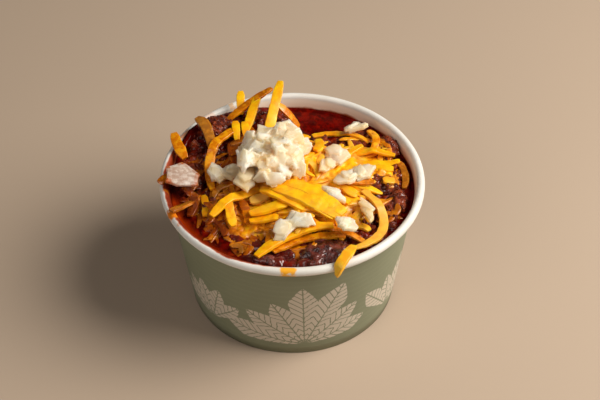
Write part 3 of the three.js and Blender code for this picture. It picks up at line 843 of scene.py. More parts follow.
def make_printed_paper():
    """Green board with pale leaf sprays, white at the rim and inside."""
    material, tree, shader = new_material("printed paper", Roughness=0.5, Specular_IOR_Level=0.45)
    place = place_of(tree)
    radius, bearing, height = round_the_axis(place)
    fibre = from_group(paper_fibre, {"Place": place})
    ragged = times(minus(noise(place, 700, 3), 0.5), 0.0012)
    along = times(bearing, PRINT_RADIUS * MM)
    printed = leaf_sprays(plus(along, ragged), minus(height, ragged))
    lines = maths("SINE", times(height, 2 * math.pi / (LINE_SPACING * MM)))
    lines = times(fade(lines, 0.2, 0.7), 0.22)
    green = mix(lines, screen(131, 135, 108), screen(144, 148, 121))
    green = mix(times(fibre["Mottle"], 0.25), green, screen(122, 126, 99))
    printed_green = mix(printed, green, screen(205, 193, 175))
    middle = plus((FOOT_RADIUS - PAPER / 2) * MM, times(height, (WALL_TOP_RADIUS - FOOT_RADIUS) / CUP_HEIGHT))
    outside = fade(minus(radius, middle), 0.0, 0.0001)
    inside = minus(1.0, outside)
    roll_bottom = CUP_HEIGHT - ROLL_HEIGHT
    below_roll = fade(height, (roll_bottom + 0.5) * MM, (roll_bottom + 0.1) * MM)
    board = mix(fibre["Mottle"], screen(232, 228, 220), screen(224, 219, 209))
    colour = mix(times(outside, below_roll), board, printed_green)
    colour = stain_inside(colour, place, radius, bearing, height, inside)
    fill(shader, {"Base Color": colour})
    add_bump(shader, fibre["Height"], *PAPER_BUMP)
    return material


printed_paper = make_printed_paper()
count_nodes(printed_paper)

# %% Sweep the wall
WALL_SIDES = 256
TURNING_RADIUS = 50  # the circle that the section is swept round
section = wall_section()
wall = new_piece("cup_wall_paper", [(radius - TURNING_RADIUS, -height, 0) for radius, height in section],
                 edges=[(index, (index + 1) % len(section)) for index in range(len(section))])
run_tree(wall, turned_paper, Sides=WALL_SIDES, Radius=TURNING_RADIUS * MM,
         Seam_Bearing=math.radians(118), Seam_Width=0.07, Seam_Lift=0.3 * MM,
         Waviness=0.35 * MM, Material=printed_paper)
dress(wall, ["cup_wall"])

# %% [markdown]
# The floor is a disc of the same board without print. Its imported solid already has
# the right shape, so it keeps that and only gets its finish.

# %% Material: white paper for the floor
def make_white_paper():
    """Plain coated board."""
    material, tree, shader = new_material("white paper", Roughness=0.5)
    fibre = from_group(paper_fibre, {"Place": place_of(tree)})
    board = mix(fibre["Mottle"], screen(240, 236, 227), screen(231, 225, 213))
    fill(shader, {"Base Color": board})
    add_bump(shader, fibre["Height"], *PAPER_BUMP)
    return material


cup_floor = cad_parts["cup_floor"]
cup_floor.data.materials.clear()
cup_floor.data.materials.append(make_white_paper())
print("The floor keeps its solid, with", len(cup_floor.data.polygons), "faces")

# %% [markdown]
# ## The ground
#
# Everything on top of the chili lies on something. One height map of whole
# millimetres stands for all that has been laid so far. It starts as the top of
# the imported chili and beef, found by dropping a ray on each cell, and each shred
# that is laid raises it.

# %% Height map of what is laid
HALF_MAP = 62
GAP = 0.3  # clearance that the solids keep
SHRED_BITE = 0.5  # how far a shred presses into what it lies on
SAUCE_LEVEL = 56.5
HIGH_ABOVE = 200  # where the rays start


def ray_target(nodes):
    """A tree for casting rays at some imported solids, in millimetres."""
    return BVHTree.FromPolygons(*packed_mesh(nodes))


def top_of(target, x, y, otherwise):
    """Height of the highest face over a point."""
    hit = target.ray_cast(Vector((x, y, HIGH_ABOVE)), Vector((0, 0, -1)))[0]
    return otherwise if hit is None else hit.z


class Ground:
    """Heights of all that is laid so far, one cell to a millimetre."""

    def __init__(self, nodes):
        target = ray_target(nodes)
        cells = range(-HALF_MAP, HALF_MAP + 1)
        heights = [[self.bare(target, x, y) for x in cells] for y in cells]
        self.cells = np.array(heights)

    @staticmethod
    def bare(target, x, y):
        """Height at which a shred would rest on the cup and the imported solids."""
        radius = math.hypot(x, y)
        if radius > RIM_RADIUS:
            return 0
        on_rim = radius > inner_radius(CUP_HEIGHT) - 1
        surface = CUP_HEIGHT if on_rim else top_of(target, x, y, SAUCE_LEVEL)
        return surface + GAP + SHRED_BITE

    def at(self, x, y):
        """Height of the cell nearest to a point."""
        return self.cells[int(round(y)) + HALF_MAP, int(round(x)) + HALF_MAP]

    def lift(self, x, y, radius, height):
        """Raises the cells within a radius of a point to at least a height."""
        for row in range(math.ceil(y - radius), math.floor(y + radius) + 1):
            for column in range(math.ceil(x - radius), math.floor(x + radius) + 1):
                if math.hypot(column - x, row - y) <= radius:
                    place = row + HALF_MAP, column + HALF_MAP
                    self.cells[place] = max(self.cells[place], height)


ground = Ground(["chili"] + numbered("beef"))
print("The ground rises to", round(ground.cells.max(), 1), "mm")

# %% [markdown]
# Melted cheese will cover the middle of all this. It spreads from one centre, with
# its own reach in every direction. Its outline comes before the chili, because
# loose crumbs belong only where no cheese hides them.

# %% Outline of the melted cheese
CORE_CENTRE = np.array([0, -5])
CORE_REACH = [38, 37, 33, 31, 37, 37, 32, 35, 31, 29, 33, 38]  # every 30 degrees from +X


def core_reach(angle):
    """Reach of the melted cheese in one or more directions, in radians."""
    place = np.asarray(angle) / (2 * math.pi) % 1 * len(CORE_REACH)
    low = np.floor(place).astype(int)
    reach = np.array(CORE_REACH)
    return reach[low] * (1 - place + low) + reach[(low + 1) % len(reach)] * (place - low)


def core_point(angle, share):
    """The place at a share of the melted cheese's reach in one direction."""
    return CORE_CENTRE + core_reach(angle) * share * np.array([math.cos(angle), math.sin(angle)])


def core_share(x, y):
    """Distance from the centre of the melted cheese, as a share of its reach."""
    x, y = x - CORE_CENTRE[0], y - CORE_CENTRE[1]
    return np.hypot(x, y) / core_reach(np.arctan2(y, x))


print("The melted cheese reaches", min(CORE_REACH), "to", max(CORE_REACH), "mm")

# %% [markdown]
# ## The chili
#
# Chili is mince and beans in a thick red sauce. From above one sees wet crumbs
# where it is chunky, big glossy lumps at the front, and a smooth, dark pool where
# the sauce has run off, with an orange line of oil along the paper. The top is a
# square grid pressed into a disc, so that its cells are all nearly one size; a
# polar grid would waste its finest cells in the middle. It follows the packed
# solid, and the crumbs come on top as relief.

# %% Grids, and where the chili is chunky or sleek
CHILI_CELLS = 260
POOL = np.array([14, 43])  # middle of the clear sauce


def disc_grid(cells):
    """A square grid pressed into a unit disc, as an array of rows of [x, y]."""
    across = np.linspace(-1, 1, cells + 1)
    u, v = np.meshgrid(across, across)
    return np.stack([u * np.sqrt(1 - v * v / 2), v * np.sqrt(1 - u * u / 2)], axis=2)


def grid_faces(cells):
    """The squares of such a grid, and the vertices of its border in order."""
    index = np.arange((cells + 1) ** 2).reshape(cells + 1, cells + 1)
    squares = np.stack([index[:-1, :-1], index[:-1, 1:], index[1:, 1:], index[1:, :-1]], axis=2).reshape(-1, 4)
    border = np.concatenate([index[0, :-1], index[:-1, -1], index[-1, :0:-1], index[:0:-1, 0]])
    return squares, border


def blurred(heights, passes):
    """Heights of a grid, smoothed with their neighbours; the border stays."""
    soft = heights.copy()
    for _ in range(passes):
        middle = (soft[:-2, 1:-1] + soft[2:, 1:-1] + soft[1:-1, :-2] + soft[1:-1, 2:]) / 4
        soft[1:-1, 1:-1] = (soft[1:-1, 1:-1] + middle) / 2
    return soft


def chunkiness(x, y):
    """How far crumbs stand out of the sauce: none in the pool and along the paper."""
    radius = np.hypot(x, y)
    bearing = np.degrees(np.arctan2(y, x)) % 360
    by_wall = 1 - smoothstep(radius - 2 * near_bearing(bearing, 150, 28, 42), 46.5, 50.5)
    off_pool = smoothstep(np.hypot((x - POOL[0]) / 1.3, y - POOL[1] - 2), 10, 16)
    left_front = smoothstep(radius, 38, 44) * near_bearing(bearing, 217, 20, 36)
    return by_wall * off_pool * (1 - 0.75 * left_front)


def sleekness(x, y):
    """1 at the front, where the mince has clumped into big lumps under a glossy skin of sauce."""
    bearing = np.degrees(np.arctan2(y, x)) % 360
    return near_bearing(bearing, 268, 32, 44) * smoothstep(np.hypot(x, y), 34, 39)


print("The grid of the chili has", len(grid_faces(CHILI_CELLS)[0]), "squares")


# %% Shape of the chili's top
CHILI_INSET = 0.6  # from the paper to the grid's border, before that is pressed into the paper
chili_target = ray_target(["chili"])


def chili_top():
    """Points of the chili's top in millimetres, and how meaty each is."""
    grid = disc_grid(CHILI_CELLS)
    edge = inner_radius(SAUCE_LEVEL) - CHILI_INSET
    flat = grid.reshape(-1, 2) * edge
    reach = np.hypot(*flat.T)
    shares = np.minimum(1, (edge - 1.4) / np.maximum(1, reach))  # no ray may miss the solid
    heights = np.array([top_of(chili_target, x, y, SAUCE_LEVEL) for x, y in flat * shares[:, None]])
    heights = blurred(heights.reshape(grid.shape[:2]), 14).ravel()
    points = np.column_stack([flat, heights])
    spots = warped(points * [1, 1, 1.5], 1.3, 2.2, 90)
    lumps = domes(spots, 4.2, 21, 0.75)
    crumbs = domes(spots, 2.2, 31, 0.8)
    specks = domes(spots, 1.2, 41, 0.8)
    chunks = chunkiness(*flat.T)
    sleek = sleekness(*flat.T)
    big = domes(spots, 6.5, 25, 0.85)
    torn = 1.7 * lumps + 1.0 * crumbs + 0.5 * specks
    relief = torn + sleek * (2.6 * big + 0.3 * lumps - torn) + 0.6 * soft_noise(points, 7, 3)
    points[:, 2] += chunks * (relief - 0.4) - 0.6
    points[:, 2] += 0.25 * soft_noise(points, 3, 8) * (1 - chunks)
    meniscus = smoothstep(reach, edge - 1.6, edge)
    points[:, 2] += 0.7 * meniscus ** 2
    meat = chunks * np.clip(0.8 * lumps + 0.6 * crumbs, 0, 1)
    meat += sleek * (chunks * big - meat)
    bare = meat * smoothstep(core_share(*flat.T), 0.8, 1.0) * (1 - 0.85 * sleek)
    return points, {"meat": meat, "bare": bare, "chunky": chunks, "sleek": sleek}


chili_points, chili_values = chili_top()
print("The chili's top spans", chili_points[:, 2].min().round(1), "to", chili_points[:, 2].max().round(1), "mm")

# %% Close the chili down to the cup's floor
CHILI_BOTTOM = 7.2
PAPER_BITE = 0.15  # how far the top's border lies in the paper


def chili_solid(points, values):
    """The top, a wall just into the paper and a flat bottom, as one closed mesh."""
    squares, border = grid_faces(CHILI_CELLS)
    for vertex in border:
        radius = inner_radius(points[vertex, 2]) + PAPER_BITE
        points[vertex, :2] *= radius / np.hypot(*points[vertex, :2])
    foot = points[border].copy()
    foot[:, :2] *= ((inner_radius(CHILI_BOTTOM) - GAP) / np.hypot(*foot.T[:2]))[:, None]
    foot[:, 2] = CHILI_BOTTOM
    faces = squares.tolist()
    first = len(points)
    count = len(border)
    centre = first + count
    for step in range(count):
        ahead = (step + 1) % count
        faces.append([int(border[ahead]), int(border[step]), first + step, first + ahead])
        faces.append([first + ahead, first + step, centre])
    everything = np.vstack([points, foot, [[0, 0, CHILI_BOTTOM]]])
    piece = new_piece("chili_in_sauce", everything, faces)
    for label, top in values.items():
        set_attribute(piece, label, np.concatenate([top, np.zeros(count + 1)]))
    return piece


chili = chili_solid(chili_points, chili_values)
print("The chili has", len(chili.data.vertices), "vertices")

# %% [markdown]
# ## The wet finish
#
# Chili, beef, crumbs and cheese are all coated in the same thin, fatty sauce. What
# they share is where it is oily, where it is dark and how it breaks the surface into
# tiny wet bumps, so that is a group. What each is made of stays in its own material.

# %% Node group: oily sauce
def make_oily_sauce():
    """Oil patches and the fine height of a wet surface."""
    tree, source, result = new_group("oily sauce", {"Place": VECTOR}, {"Oil": FLOAT, "Dark": FLOAT, "Height": FLOAT})
    patches = noise(source["Place"], 150, 4, 0.6, 0.6)
    deep = noise(source["Place"], 330, 3, 0.6)
    fine = noise(source["Place"], 1500, 3, 0.6)
    fill(result, {"Oil": fade(patches, 0.52, 0.68), "Dark": fade(deep, 0.38, 0.62), "Height": fine})
    return tree


oily_sauce = make_oily_sauce()
count_nodes(oily_sauce)


# %% Material: chili
def make_chili_material():
    """Dark red sauce over brown crumbs, with painted shade in the sauce between the crumbs, orange with oil along the
    paper.
    """
    material, tree, shader = new_material("chili", Roughness=0.14, Specular_IOR_Level=0.1, Coat_Roughness=0.1)
    place = place_of(tree)
    sauce = from_group(oily_sauce, {"Place": place})
    radius, bearing, _ = round_the_axis(place)
    left_front = fade(away_from(bearing, 216), 0.75, 0.3)
    chunky, sleek = attribute(tree, "chunky"), attribute(tree, "sleek")
    colour = mix(sauce["Dark"], screen(104, 6, 1), screen(62, 3, 1))
    # Painted shade: where the chili is chunky, the sauce seen between the crumbs is darkened.
    colour = mix(times(chunky, 0.75), colour, screen(50, 6, 3))
    meat = mix(sauce["Dark"], screen(156, 56, 24), screen(84, 18, 8))
    meat = mix(times(sleek, 0.75), meat, screen(74, 24, 22))
    colour = mix(fade(attribute(tree, "meat"), 0.15, 0.7), colour, meat)
    oil = times(sauce["Oil"], 0.6)
    near_wall = fade(radius, 0.047, 0.0518)
    oil_line = times(near_wall, plus(0.1, left_front))
    fat = mix(left_front, screen(132, 18, 1), screen(150, 46, 2))
    colour = mix(maths("MAXIMUM", oil, oil_line, clamp=True), colour, fat)
    gloss = times(chunky, fade(sleek, 0.0, 1.0, 0.4, 1.0))
    fill(shader, {"Base Color": colour, "Coat Weight": gloss})
    add_bump(shader, sauce["Height"], 0.35, 0.0004)
    return material


dress(chili, ["chili"], make_chili_material())

# %% [markdown]
# ## The beef
#
# Larger clumps of mince stand out of the sauce. Each starts from its packed
# solid, remeshed into small squares, and gets the same crumb relief as the chili,
# but in three dimensions, so that it looks torn and not moulded. At the front the
# relief is of bigger, rounder lumps, as in the chili.

# %% Sculpt the clumps
BEEF_VOXEL = 0.36


def beef_clumps():
    """All the clumps as one piece, with a crumbly surface."""
    piece = welded_copy("beef_clumps", numbered("beef"))
    remesh(piece, BEEF_VOXEL)
    points, normals = points_of(piece), normals_of(piece)
    spots = warped(points, 1.2, 2.0, 95)
    lumps = domes(spots, 3.6, 51, 0.9)
    crumbs = domes(spots, 1.7, 61, 0.9)
    specks = domes(spots, 0.9, 71, 0.9)
    sleek = sleekness(*points.T[:2])
    big = domes(spots, 6.0, 55, 0.9)
    torn = 1.1 * lumps + 0.8 * crumbs + 0.35 * specks
    relief = torn + sleek * (1.8 * big + 0.25 * lumps - torn) + 0.5 * soft_noise(points, 5, 9) - 0.7
    set_points(piece, points + normals * relief[:, None])
    set_attribute(piece, "meat", np.clip(lumps + 0.3 * crumbs + sleek * big, 0, 1))
    set_attribute(piece, "bare", lumps * (1 - 0.85 * sleek))
    set_attribute(piece, "sleek", sleek)
    return piece


beef = beef_clumps()
print("The clumps have", len(beef.data.vertices), "vertices")


# %% Material: beef
def make_beef_material():
    """Brown mince, wet in places with sauce, with painted shade in its creases and pits; purple and glossy where it is
    sleek.
    """
    material, tree, shader = new_material("beef", Coat_Roughness=0.08, Specular_IOR_Level=0.25)
    place = place_of(tree)
    sauce = from_group(oily_sauce, {"Place": place})
    sleek = attribute(tree, "sleek")
    grit = noise(place, 2400, 4, 0.7)
    colour = mix(sauce["Dark"], screen(170, 72, 34), screen(90, 24, 10))
    # Painted shade: the creases, where the meat attribute is low, are darkened to a deep sauce red.
    crease_shade = fade(attribute(tree, "meat"), 0.5, 0.05)
    colour = mix(times(crease_shade, 0.7), colour, screen(70, 6, 1))
    colour = mix(times(sauce["Oil"], 0.6), colour, screen(176, 66, 8))
    glazed = mix(sauce["Dark"], screen(104, 48, 44), screen(46, 15, 14))
    colour = mix(times(sleek, 0.75), colour, glazed)
    # Painted shade: near-black specks where the fine grit is low, which are the pits of its bump.
    colour = mix(fade(grit, 0.35, 0.6, 0.4, 0.0), colour, screen(30, 6, 4))
    wet = maths("MAXIMUM", fade(noise(place, 420, 2), 0.42, 0.6), sleek)
    fill(shader, {"Base Color": colour, "Roughness": fade(wet, 0.0, 1.0, 0.5, 0.15), "Coat Weight": times(wet, 0.8)})
    height = plus(grit, times(sauce["Height"], 1.5))
    height = times(height, fade(sleek, 0.0, 1.0, 1.0, 0.35))
    add_bump(shader, height, 0.9, 0.0008)
    return material


beef_material = make_beef_material()
dress(beef, numbered("beef"), beef_material)

# %% [markdown]
# Relief alone has no overhangs, and loose mince has. So hundreds of little crumbs
# lie on the chunky parts of the chili and on the clumps. A node tree spreads them:
# the mesh's own *bare* attribute says where they may lie, and how densely.

# %% Tree: scattered crumbs
def make_scattered_crumbs():
    """Spreads crumbs over the meaty, upward faces of a mesh."""
    tree, source, end = new_tree("scattered crumbs", {
        "Crumbs": COLLECTION, "Spacing": FLOAT, "Seed": WHOLE, "Smallest": FLOAT, "Largest": FLOAT, "Sink": FLOAT,
    })
    meaty = times(maths("GREATER_THAN", upwardness(tree), 0.2), fade(named_value(tree, "bare"), 0.15, 0.6))
    spread = add_node(tree, "GeometryNodeDistributePointsOnFaces", {
        "Mesh": source["Geometry"], "Distance Min": source["Spacing"], "Density Max": 5e5,
        "Density Factor": meaty, "Seed": source["Seed"],
    }, distribute_method="POISSON").outputs
    sunk = moved_along(spread["Points"], spread["Normal"], times(source["Sink"], -1.0))
    end(add_node(tree, "GeometryNodeInstanceOnPoints", {
        "Points": sunk, "Instance": members(source["Crumbs"]), "Pick Instance": True,
        "Rotation": random_vector(tree, (0, 0, 0), (2 * math.pi,) * 3),
        "Scale": random_vector(tree, source["Smallest"], source["Largest"]),
    }).outputs[0])
    return tree


scattered_crumbs = make_scattered_crumbs()
count_nodes(scattered_crumbs)


# %% Kinds of crumb
CRUMB_KINDS = 7
CRUMB_CUTS = 9


def crumb_kind(name, seed):
    """One torn crumb, about 1 wide: a ball cut by random planes and roughened."""
    mesh = bpy.data.meshes.new(name)
    builder = bmesh.new()
    bmesh.ops.create_icosphere(builder, subdivisions=2, radius=1)
    builder.to_mesh(mesh)
    builder.free()
    flat = np.empty(len(mesh.vertices) * 3)
    mesh.vertices.foreach_get("co", flat)
    rays = flat.reshape(-1, 3)
    cuts = np.arange(CRUMB_CUTS * 3).reshape(-1, 3)
    planes = np.stack([cell_random(cuts, seed * 10 + axis) - 0.5 for axis in range(3)], axis=1)
    planes /= np.linalg.norm(planes, axis=1)[:, None]
    depths = 0.22 + 0.3 * cell_random(cuts, seed * 10 + 5)
    reach = (depths / np.maximum(rays @ planes.T, 0.12)).min(axis=1)
    reach = np.minimum(reach, 0.65) * (0.6 + 0.8 * soft_noise(rays + seed, 0.45, seed))
    points = rays * reach[:, None]
    mesh.vertices.foreach_set("co", points.ravel())
    crumb = bpy.data.objects.new(name, mesh)
    set_attribute(crumb, "meat", 0.3 + 0.7 * soft_noise(rays + seed, 0.7, seed + 1))
    return crumb


crumb_kinds = bpy.data.collections.new("crumbs")
for number in range(CRUMB_KINDS):
    crumb_kinds.objects.link(crumb_kind(f"crumb_{number}", 3 + number))


# %% Scatter the crumbs
CRUMB_SPACING = 3.0
CRUMB_SINK = 0.5


def crumbs_over(name, base, seed, smallest, largest):
    """A piece with crumbs over a base piece, their sizes in millimetres."""
    piece = add_object(name, base.data.copy())
    run_tree(piece, scattered_crumbs, Crumbs=crumb_kinds, Spacing=CRUMB_SPACING * MM, Seed=seed,
             Smallest=smallest * MM, Largest=largest * MM, Sink=CRUMB_SINK * MM, Material=beef_material)
    dress(piece, [])


crumbs_over("sauce_crumbs", chili, 4, 1.4, 5.0)
crumbs_over("clump_crumbs", beef, 9, 1.4, 4.2)

# %% [markdown]
# ## Laying the cheese
#
# A shred that lands on a heap bends over what is under it, but it is stiff enough
# to bridge small hollows. Laying one is like letting a taut string down on the
# height map: every point sinks until it meets its support or would hang too far
# below its neighbours. Then the shred raises the map for the next one. The places
# in plan are given, lowest first; the heights follow.

# %% Settle a shred on the ground
SHRED_STEP = 1.5
SHRED_DROOP = 0.05
DRAPE_PASSES = 400
BEARING = 0.35  # a shred rests on its middle and on both sides this share of its width away
FLATNESS = 0.5


def drape(supports):
    """Lets a string of heights sag, no lower than its supports."""
    heights = np.full(len(supports), max(supports))
    for _ in range(DRAPE_PASSES):
        for i in range(len(heights)):
            before = heights[i - 1] if i else 2 * heights[1] - heights[2]
            after = heights[i + 1] if i < len(heights) - 1 else 2 * heights[-2] - heights[-3]
            heights[i] = max(supports[i], (before + after) / 2 - SHRED_DROOP)
    return heights


def lay_shred(from_x, from_y, to_x, to_y, bow, width):
    """Lays a shred between two places in plan and returns its centre line."""
    length = math.hypot(to_x - from_x, to_y - from_y)
    side_x = -(to_y - from_y) / length
    side_y = (to_x - from_x) / length
    half = width * FLATNESS / 2
    t = np.linspace(0, 1, max(5, round(length / SHRED_STEP)) + 1)
    offset = bow * 4 * t * (1 - t)
    xs = from_x + (to_x - from_x) * t + side_x * offset
    ys = from_y + (to_y - from_y) * t + side_y * offset
    supports = []
    for x, y in zip(xs, ys):
        across = [share * width for share in (-BEARING, 0, BEARING)]
        supports.append(max(ground.at(x + side_x * s, y + side_y * s) for s in across) + half - SHRED_BITE)
    heights = drape(supports)
    for x, y, z in zip(xs, ys, heights):
        ground.lift(x, y, width / 2, z + half)
    return np.column_stack([xs, ys, heights])


print("A shred sags by", SHRED_DROOP, "mm a step")

# %% [markdown]
# The scattered shreds come from a seeded draw, which is the same as the one that
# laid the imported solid. The melted cheese raises the ground before them.

# %% The scattered shreds
CORE_LIFT = 0.9
CORE_DEPTH = 2.2
CORE_THINNING = 0.7
SHRED_SEED = 29
SCATTERED_SHREDS = 17


def seeded_random(seed):
    """Park-Miller random numbers between 0 and 1."""
    state = seed
    while True:
        state = state * 16807 % 2147483647
        yield state / 2147483647


def between(draw, low, high):
    """The next number of a seeded draw, between two others."""
    return low + (high - low) * next(draw)


def ends_of(x, y, heading, half):
    """Both ends in plan of a shred with its middle at a place, from its heading and half length."""
    dx, dy = half * math.cos(heading), half * math.sin(heading)
    return x - dx, y - dy, x + dx, y + dy


def core_depth(share):
    """Depth of the melted cheese at a share of its reach."""
    return CORE_DEPTH * (1 - CORE_THINNING * share ** 4)


def scattered_plans():
    """Plans of the shreds at the bottom of the heap."""
    draw = seeded_random(SHRED_SEED)
    plans = []
    for i in range(SCATTERED_SHREDS):
        angle = 2 * math.pi * (i + next(draw)) / SCATTERED_SHREDS
        x, y = core_point(angle, between(draw, 0.35, 0.9))
        ends = ends_of(x, y, math.pi * next(draw), between(draw, 7, 12))
        plans.append((*ends, between(draw, -4, 4), between(draw, 3, 4.5)))
    return plans


for angle in np.radians(np.arange(0, 360, 12)):
    for share in np.linspace(0, 1, 7):
        x, y = core_point(angle, share)
        surface = top_of(chili_target, x, y, SAUCE_LEVEL)
        ground.lift(x, y, 2, surface + CORE_LIFT + core_depth(share))
scattered_lines = [(lay_shred(*plan), plan[-1]) for plan in scattered_plans()]
print("Laid", len(scattered_lines), "scattered shreds")

# %% [markdown]
# Between them lie many short strands that have lost their shape. They don't raise
# the ground, because melted cheese runs together. Cheese is most stained on the
# left, where the sauce has soaked it.

# %% Plans of the melted strands
MELTED_SEED = 61
MELTED_STRANDS = 120
MELTED_SINK = 1.1
SUNKEN_SEED = 97
SUNKEN_SINK = 0.5
SOAKED_SEED = 17
SOAKED_PATCHES = [
    # strands, bearings from and to in degrees, radius from and to, widest, least and most stain,
    # and how far a strand turns from the line outwards, in radians
    (44, 150, 275, 28, 45, 3.4, 0.36, 0.78, 1.2),
    (7, 178, 198, 42, 49, 4, 0.7, 0.9, 1.2),
    (12, -32, 24, 39, 47, 3.2, 0.3, 0.62, 1.2),
    (5, 24, 60, 41, 46, 3.2, 0.35, 0.6, 1.2),
    (16, 8, 40, 27, 43, 3.2, 0.08, 0.3, 1.2),
    (13, 203, 242, 33, 41, 3.2, 0.45, 0.75, 0.85),
    (20, 0, 40, 25, 40, 3.4, 0.06, 0.28, -0.3),
]


def sauciness(x, y, chance):
    """How stained cheese is at a place: most on the left and towards the heap's edge."""
    left = smoothstep(-np.asarray(x, dtype=float), 3, 31)
    share = core_share(x, y)
    return 0.13 + 0.38 * left + 0.14 * smoothstep(share, 0.6, 1) + 0.3 * (chance - 0.5)


def melted_line(ends, bow, width):
    """The centre line of a shred that sinks in and leaves the ground as it was."""
    before = ground.cells.copy()
    line = lay_shred(*ends, bow, width)
    ground.cells = before
    return line - [0, 0, MELTED_SINK]


def melted_strands():
    """Lines of the melted strands with their width, stain and paleness."""
    draw = seeded_random(MELTED_SEED)
    lines = []
    for _ in range(MELTED_STRANDS):
        angle = 2 * math.pi * next(draw)
        x, y = core_point(angle, math.sqrt(between(draw, 0.01, 0.9)))
        ends = ends_of(x, y, math.pi * next(draw), between(draw, 3.5, 9))
        width = between(draw, 1.8, 3.2)
        line = melted_line(ends, between(draw, -3, 3), width)
        stain = float(np.clip(sauciness(x, y, next(draw)), 0.05, 0.95))
        lines.append((line, width, stain, 0.5 * next(draw) ** 3))
    return lines


def soaked_strands():
    """Thin strands beyond the film, nearly drowned in the sauce and most stained at their far side."""
    draw = seeded_random(SOAKED_SEED)
    lines = []
    for count, first, last, inner, outer, widest, least, most, turn in SOAKED_PATCHES:
        for _ in range(count):
            angle = math.radians(between(draw, first, last))
            radius = between(draw, inner, outer)
            heading = angle + turn + 1.6 * (next(draw) - 0.5)
            half = between(draw, 4, 12) * (1 if radius < 40 else 0.7)
            ends = ends_of(radius * math.cos(angle), radius * math.sin(angle), heading, half)
            width = between(draw, 1.6, widest)
            line = melted_line(ends, 9 * (next(draw) - 0.5), width)
            outwards = (radius - inner) / (outer - inner)
            stain = least + (most - least) * (0.5 * next(draw) + 0.5 * outwards)
            lines.append((line, width, stain, 0.25 * next(draw)))
    return lines


def sunken_shreds():
    """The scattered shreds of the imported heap, pressed into the film."""
    draw = seeded_random(SUNKEN_SEED)
    lines = []
    for line, width in scattered_lines:
        x, y = line[len(line) // 2, :2]
        stain = float(np.clip(sauciness(x, y, next(draw)), 0.05, 0.9))
        lines.append((line - [0, 0, SUNKEN_SINK], width, stain, 0))
    return lines


melted_lines = melted_strands()
soaked_lines = soaked_strands()
print("Laid", len(melted_lines), "melted strands and", len(soaked_lines), "soaked ones")

# %% [markdown]
# The shreds on top are placed one by one. Each has a width and a *stain*: 0 is
# fresh golden cheese, 1 is cheese soaked red-brown by the sauce. *Pale* ones have
# lost their colour to the heat and look like cream. The order matters, since each
# shred lies on those before it.

# %% The shreds that lie on the heap
LAID_RISE = 0.7  # a fresh shred bites less than a warm one
LAID_SHREDS = [
    # from x, y, to x, y, bow to the left, width, stain, paleness
    (-42, 31, -35, 14, 1.5, 4.5, 0.62, 0.5),
    (-27, 19, -23, 5, -1, 3, 0.7, 0),
    (-42.5, -7, -43.5, -20, 1, 4, 0.9, 0.1),
    (-33, -22, -28, -32, 1, 3.5, 0.95, 0.1),
    (-22, -14, -19, -27, 1, 3.5, 0.6, 0),
    (-8, -42, 22, -36, 3.5, 3.5, 0.4, 0),
    (7, -31, 30, -36, 2.5, 3, 0.45, 0.1),
    (-18, -15, -10, -12.5, 0, 4.5, 0.12, 0.75),
    (-18, -27, -6, -26, 0.5, 4, 0.2, 0),
    (22, -5, 35, -4, 0.5, 3.5, 0.45, 0.1),
    (46, 14, 48, -3, 2, 3, 0.5, 0.3),
    (30, -8, 25.5, -42, 10.5, 3.8, 0.15, 0.5),
    (34, 34, 35, 19, 2.5, 3.5, 0.3, 0),
    (33, 8, 44, 8, 0.5, 3.5, 0.1, 0),
    (28, 12, 47, 12.5, -0.5, 3.5, 0.05, 0),
    (26, 18, 45, 16.5, 1, 3.5, 0.15, 0),
    (22, 13, 31, 22, 1, 3, 0.1, 0),
    (9, 31, 34, 26, 4, 3, 0.2, 0),
    (11.5, 22, 10, 11, 1, 4, 0.1, 0),
    (6, 19, 5, 5, -1, 4, 0.1, 0),
    (-24, 24.5, -34, -6, -6, 4, 0.35, 0),
    (-38, -7, -37, -20, 0.5, 3, 0.15, 0),
    (-27, -15, -24.5, -29, -0.5, 4, 0.2, 0),
    (-34, -25, -14, -8, 1.5, 4, 0.15, 0),
    (-32, 3, -31, -4, 0, 2.5, 0.1, 0),
    (-18, -24, -2, -20.5, 0.5, 4.5, 0.1, 0),
    (-15, -45, 17, -31, 4, 4.5, 0.12, 0),
    (24, -29, 32, -30.5, 2, 3.5, 0.15, 0.2),
    (-9, -11, 4, -20, -0.5, 5, 0.0, 0),
    (-5, -9, 20, -21, -1, 5, 0.0, 0),
    (1, -8, 24, -18, 1, 4.5, 0.05, 0),
    (39, -2, 44, -1, 0, 4, 0.15, 0.2),
    (-25.5, -38, -21.5, -41.5, 2.5, 2, 0.8, 0.45),
]
laid_lines = [(lay_shred(*plan[:6]) + [0, 0, LAID_RISE], *plan[5:]) for plan in LAID_SHREDS]
print("Laid", len(laid_lines), "shreds")

# %% [markdown]
# A few shreds can't be laid by a rule: they stand against the onion, hang over the
# roll or cross the heap in one sweep. Their points are written down.

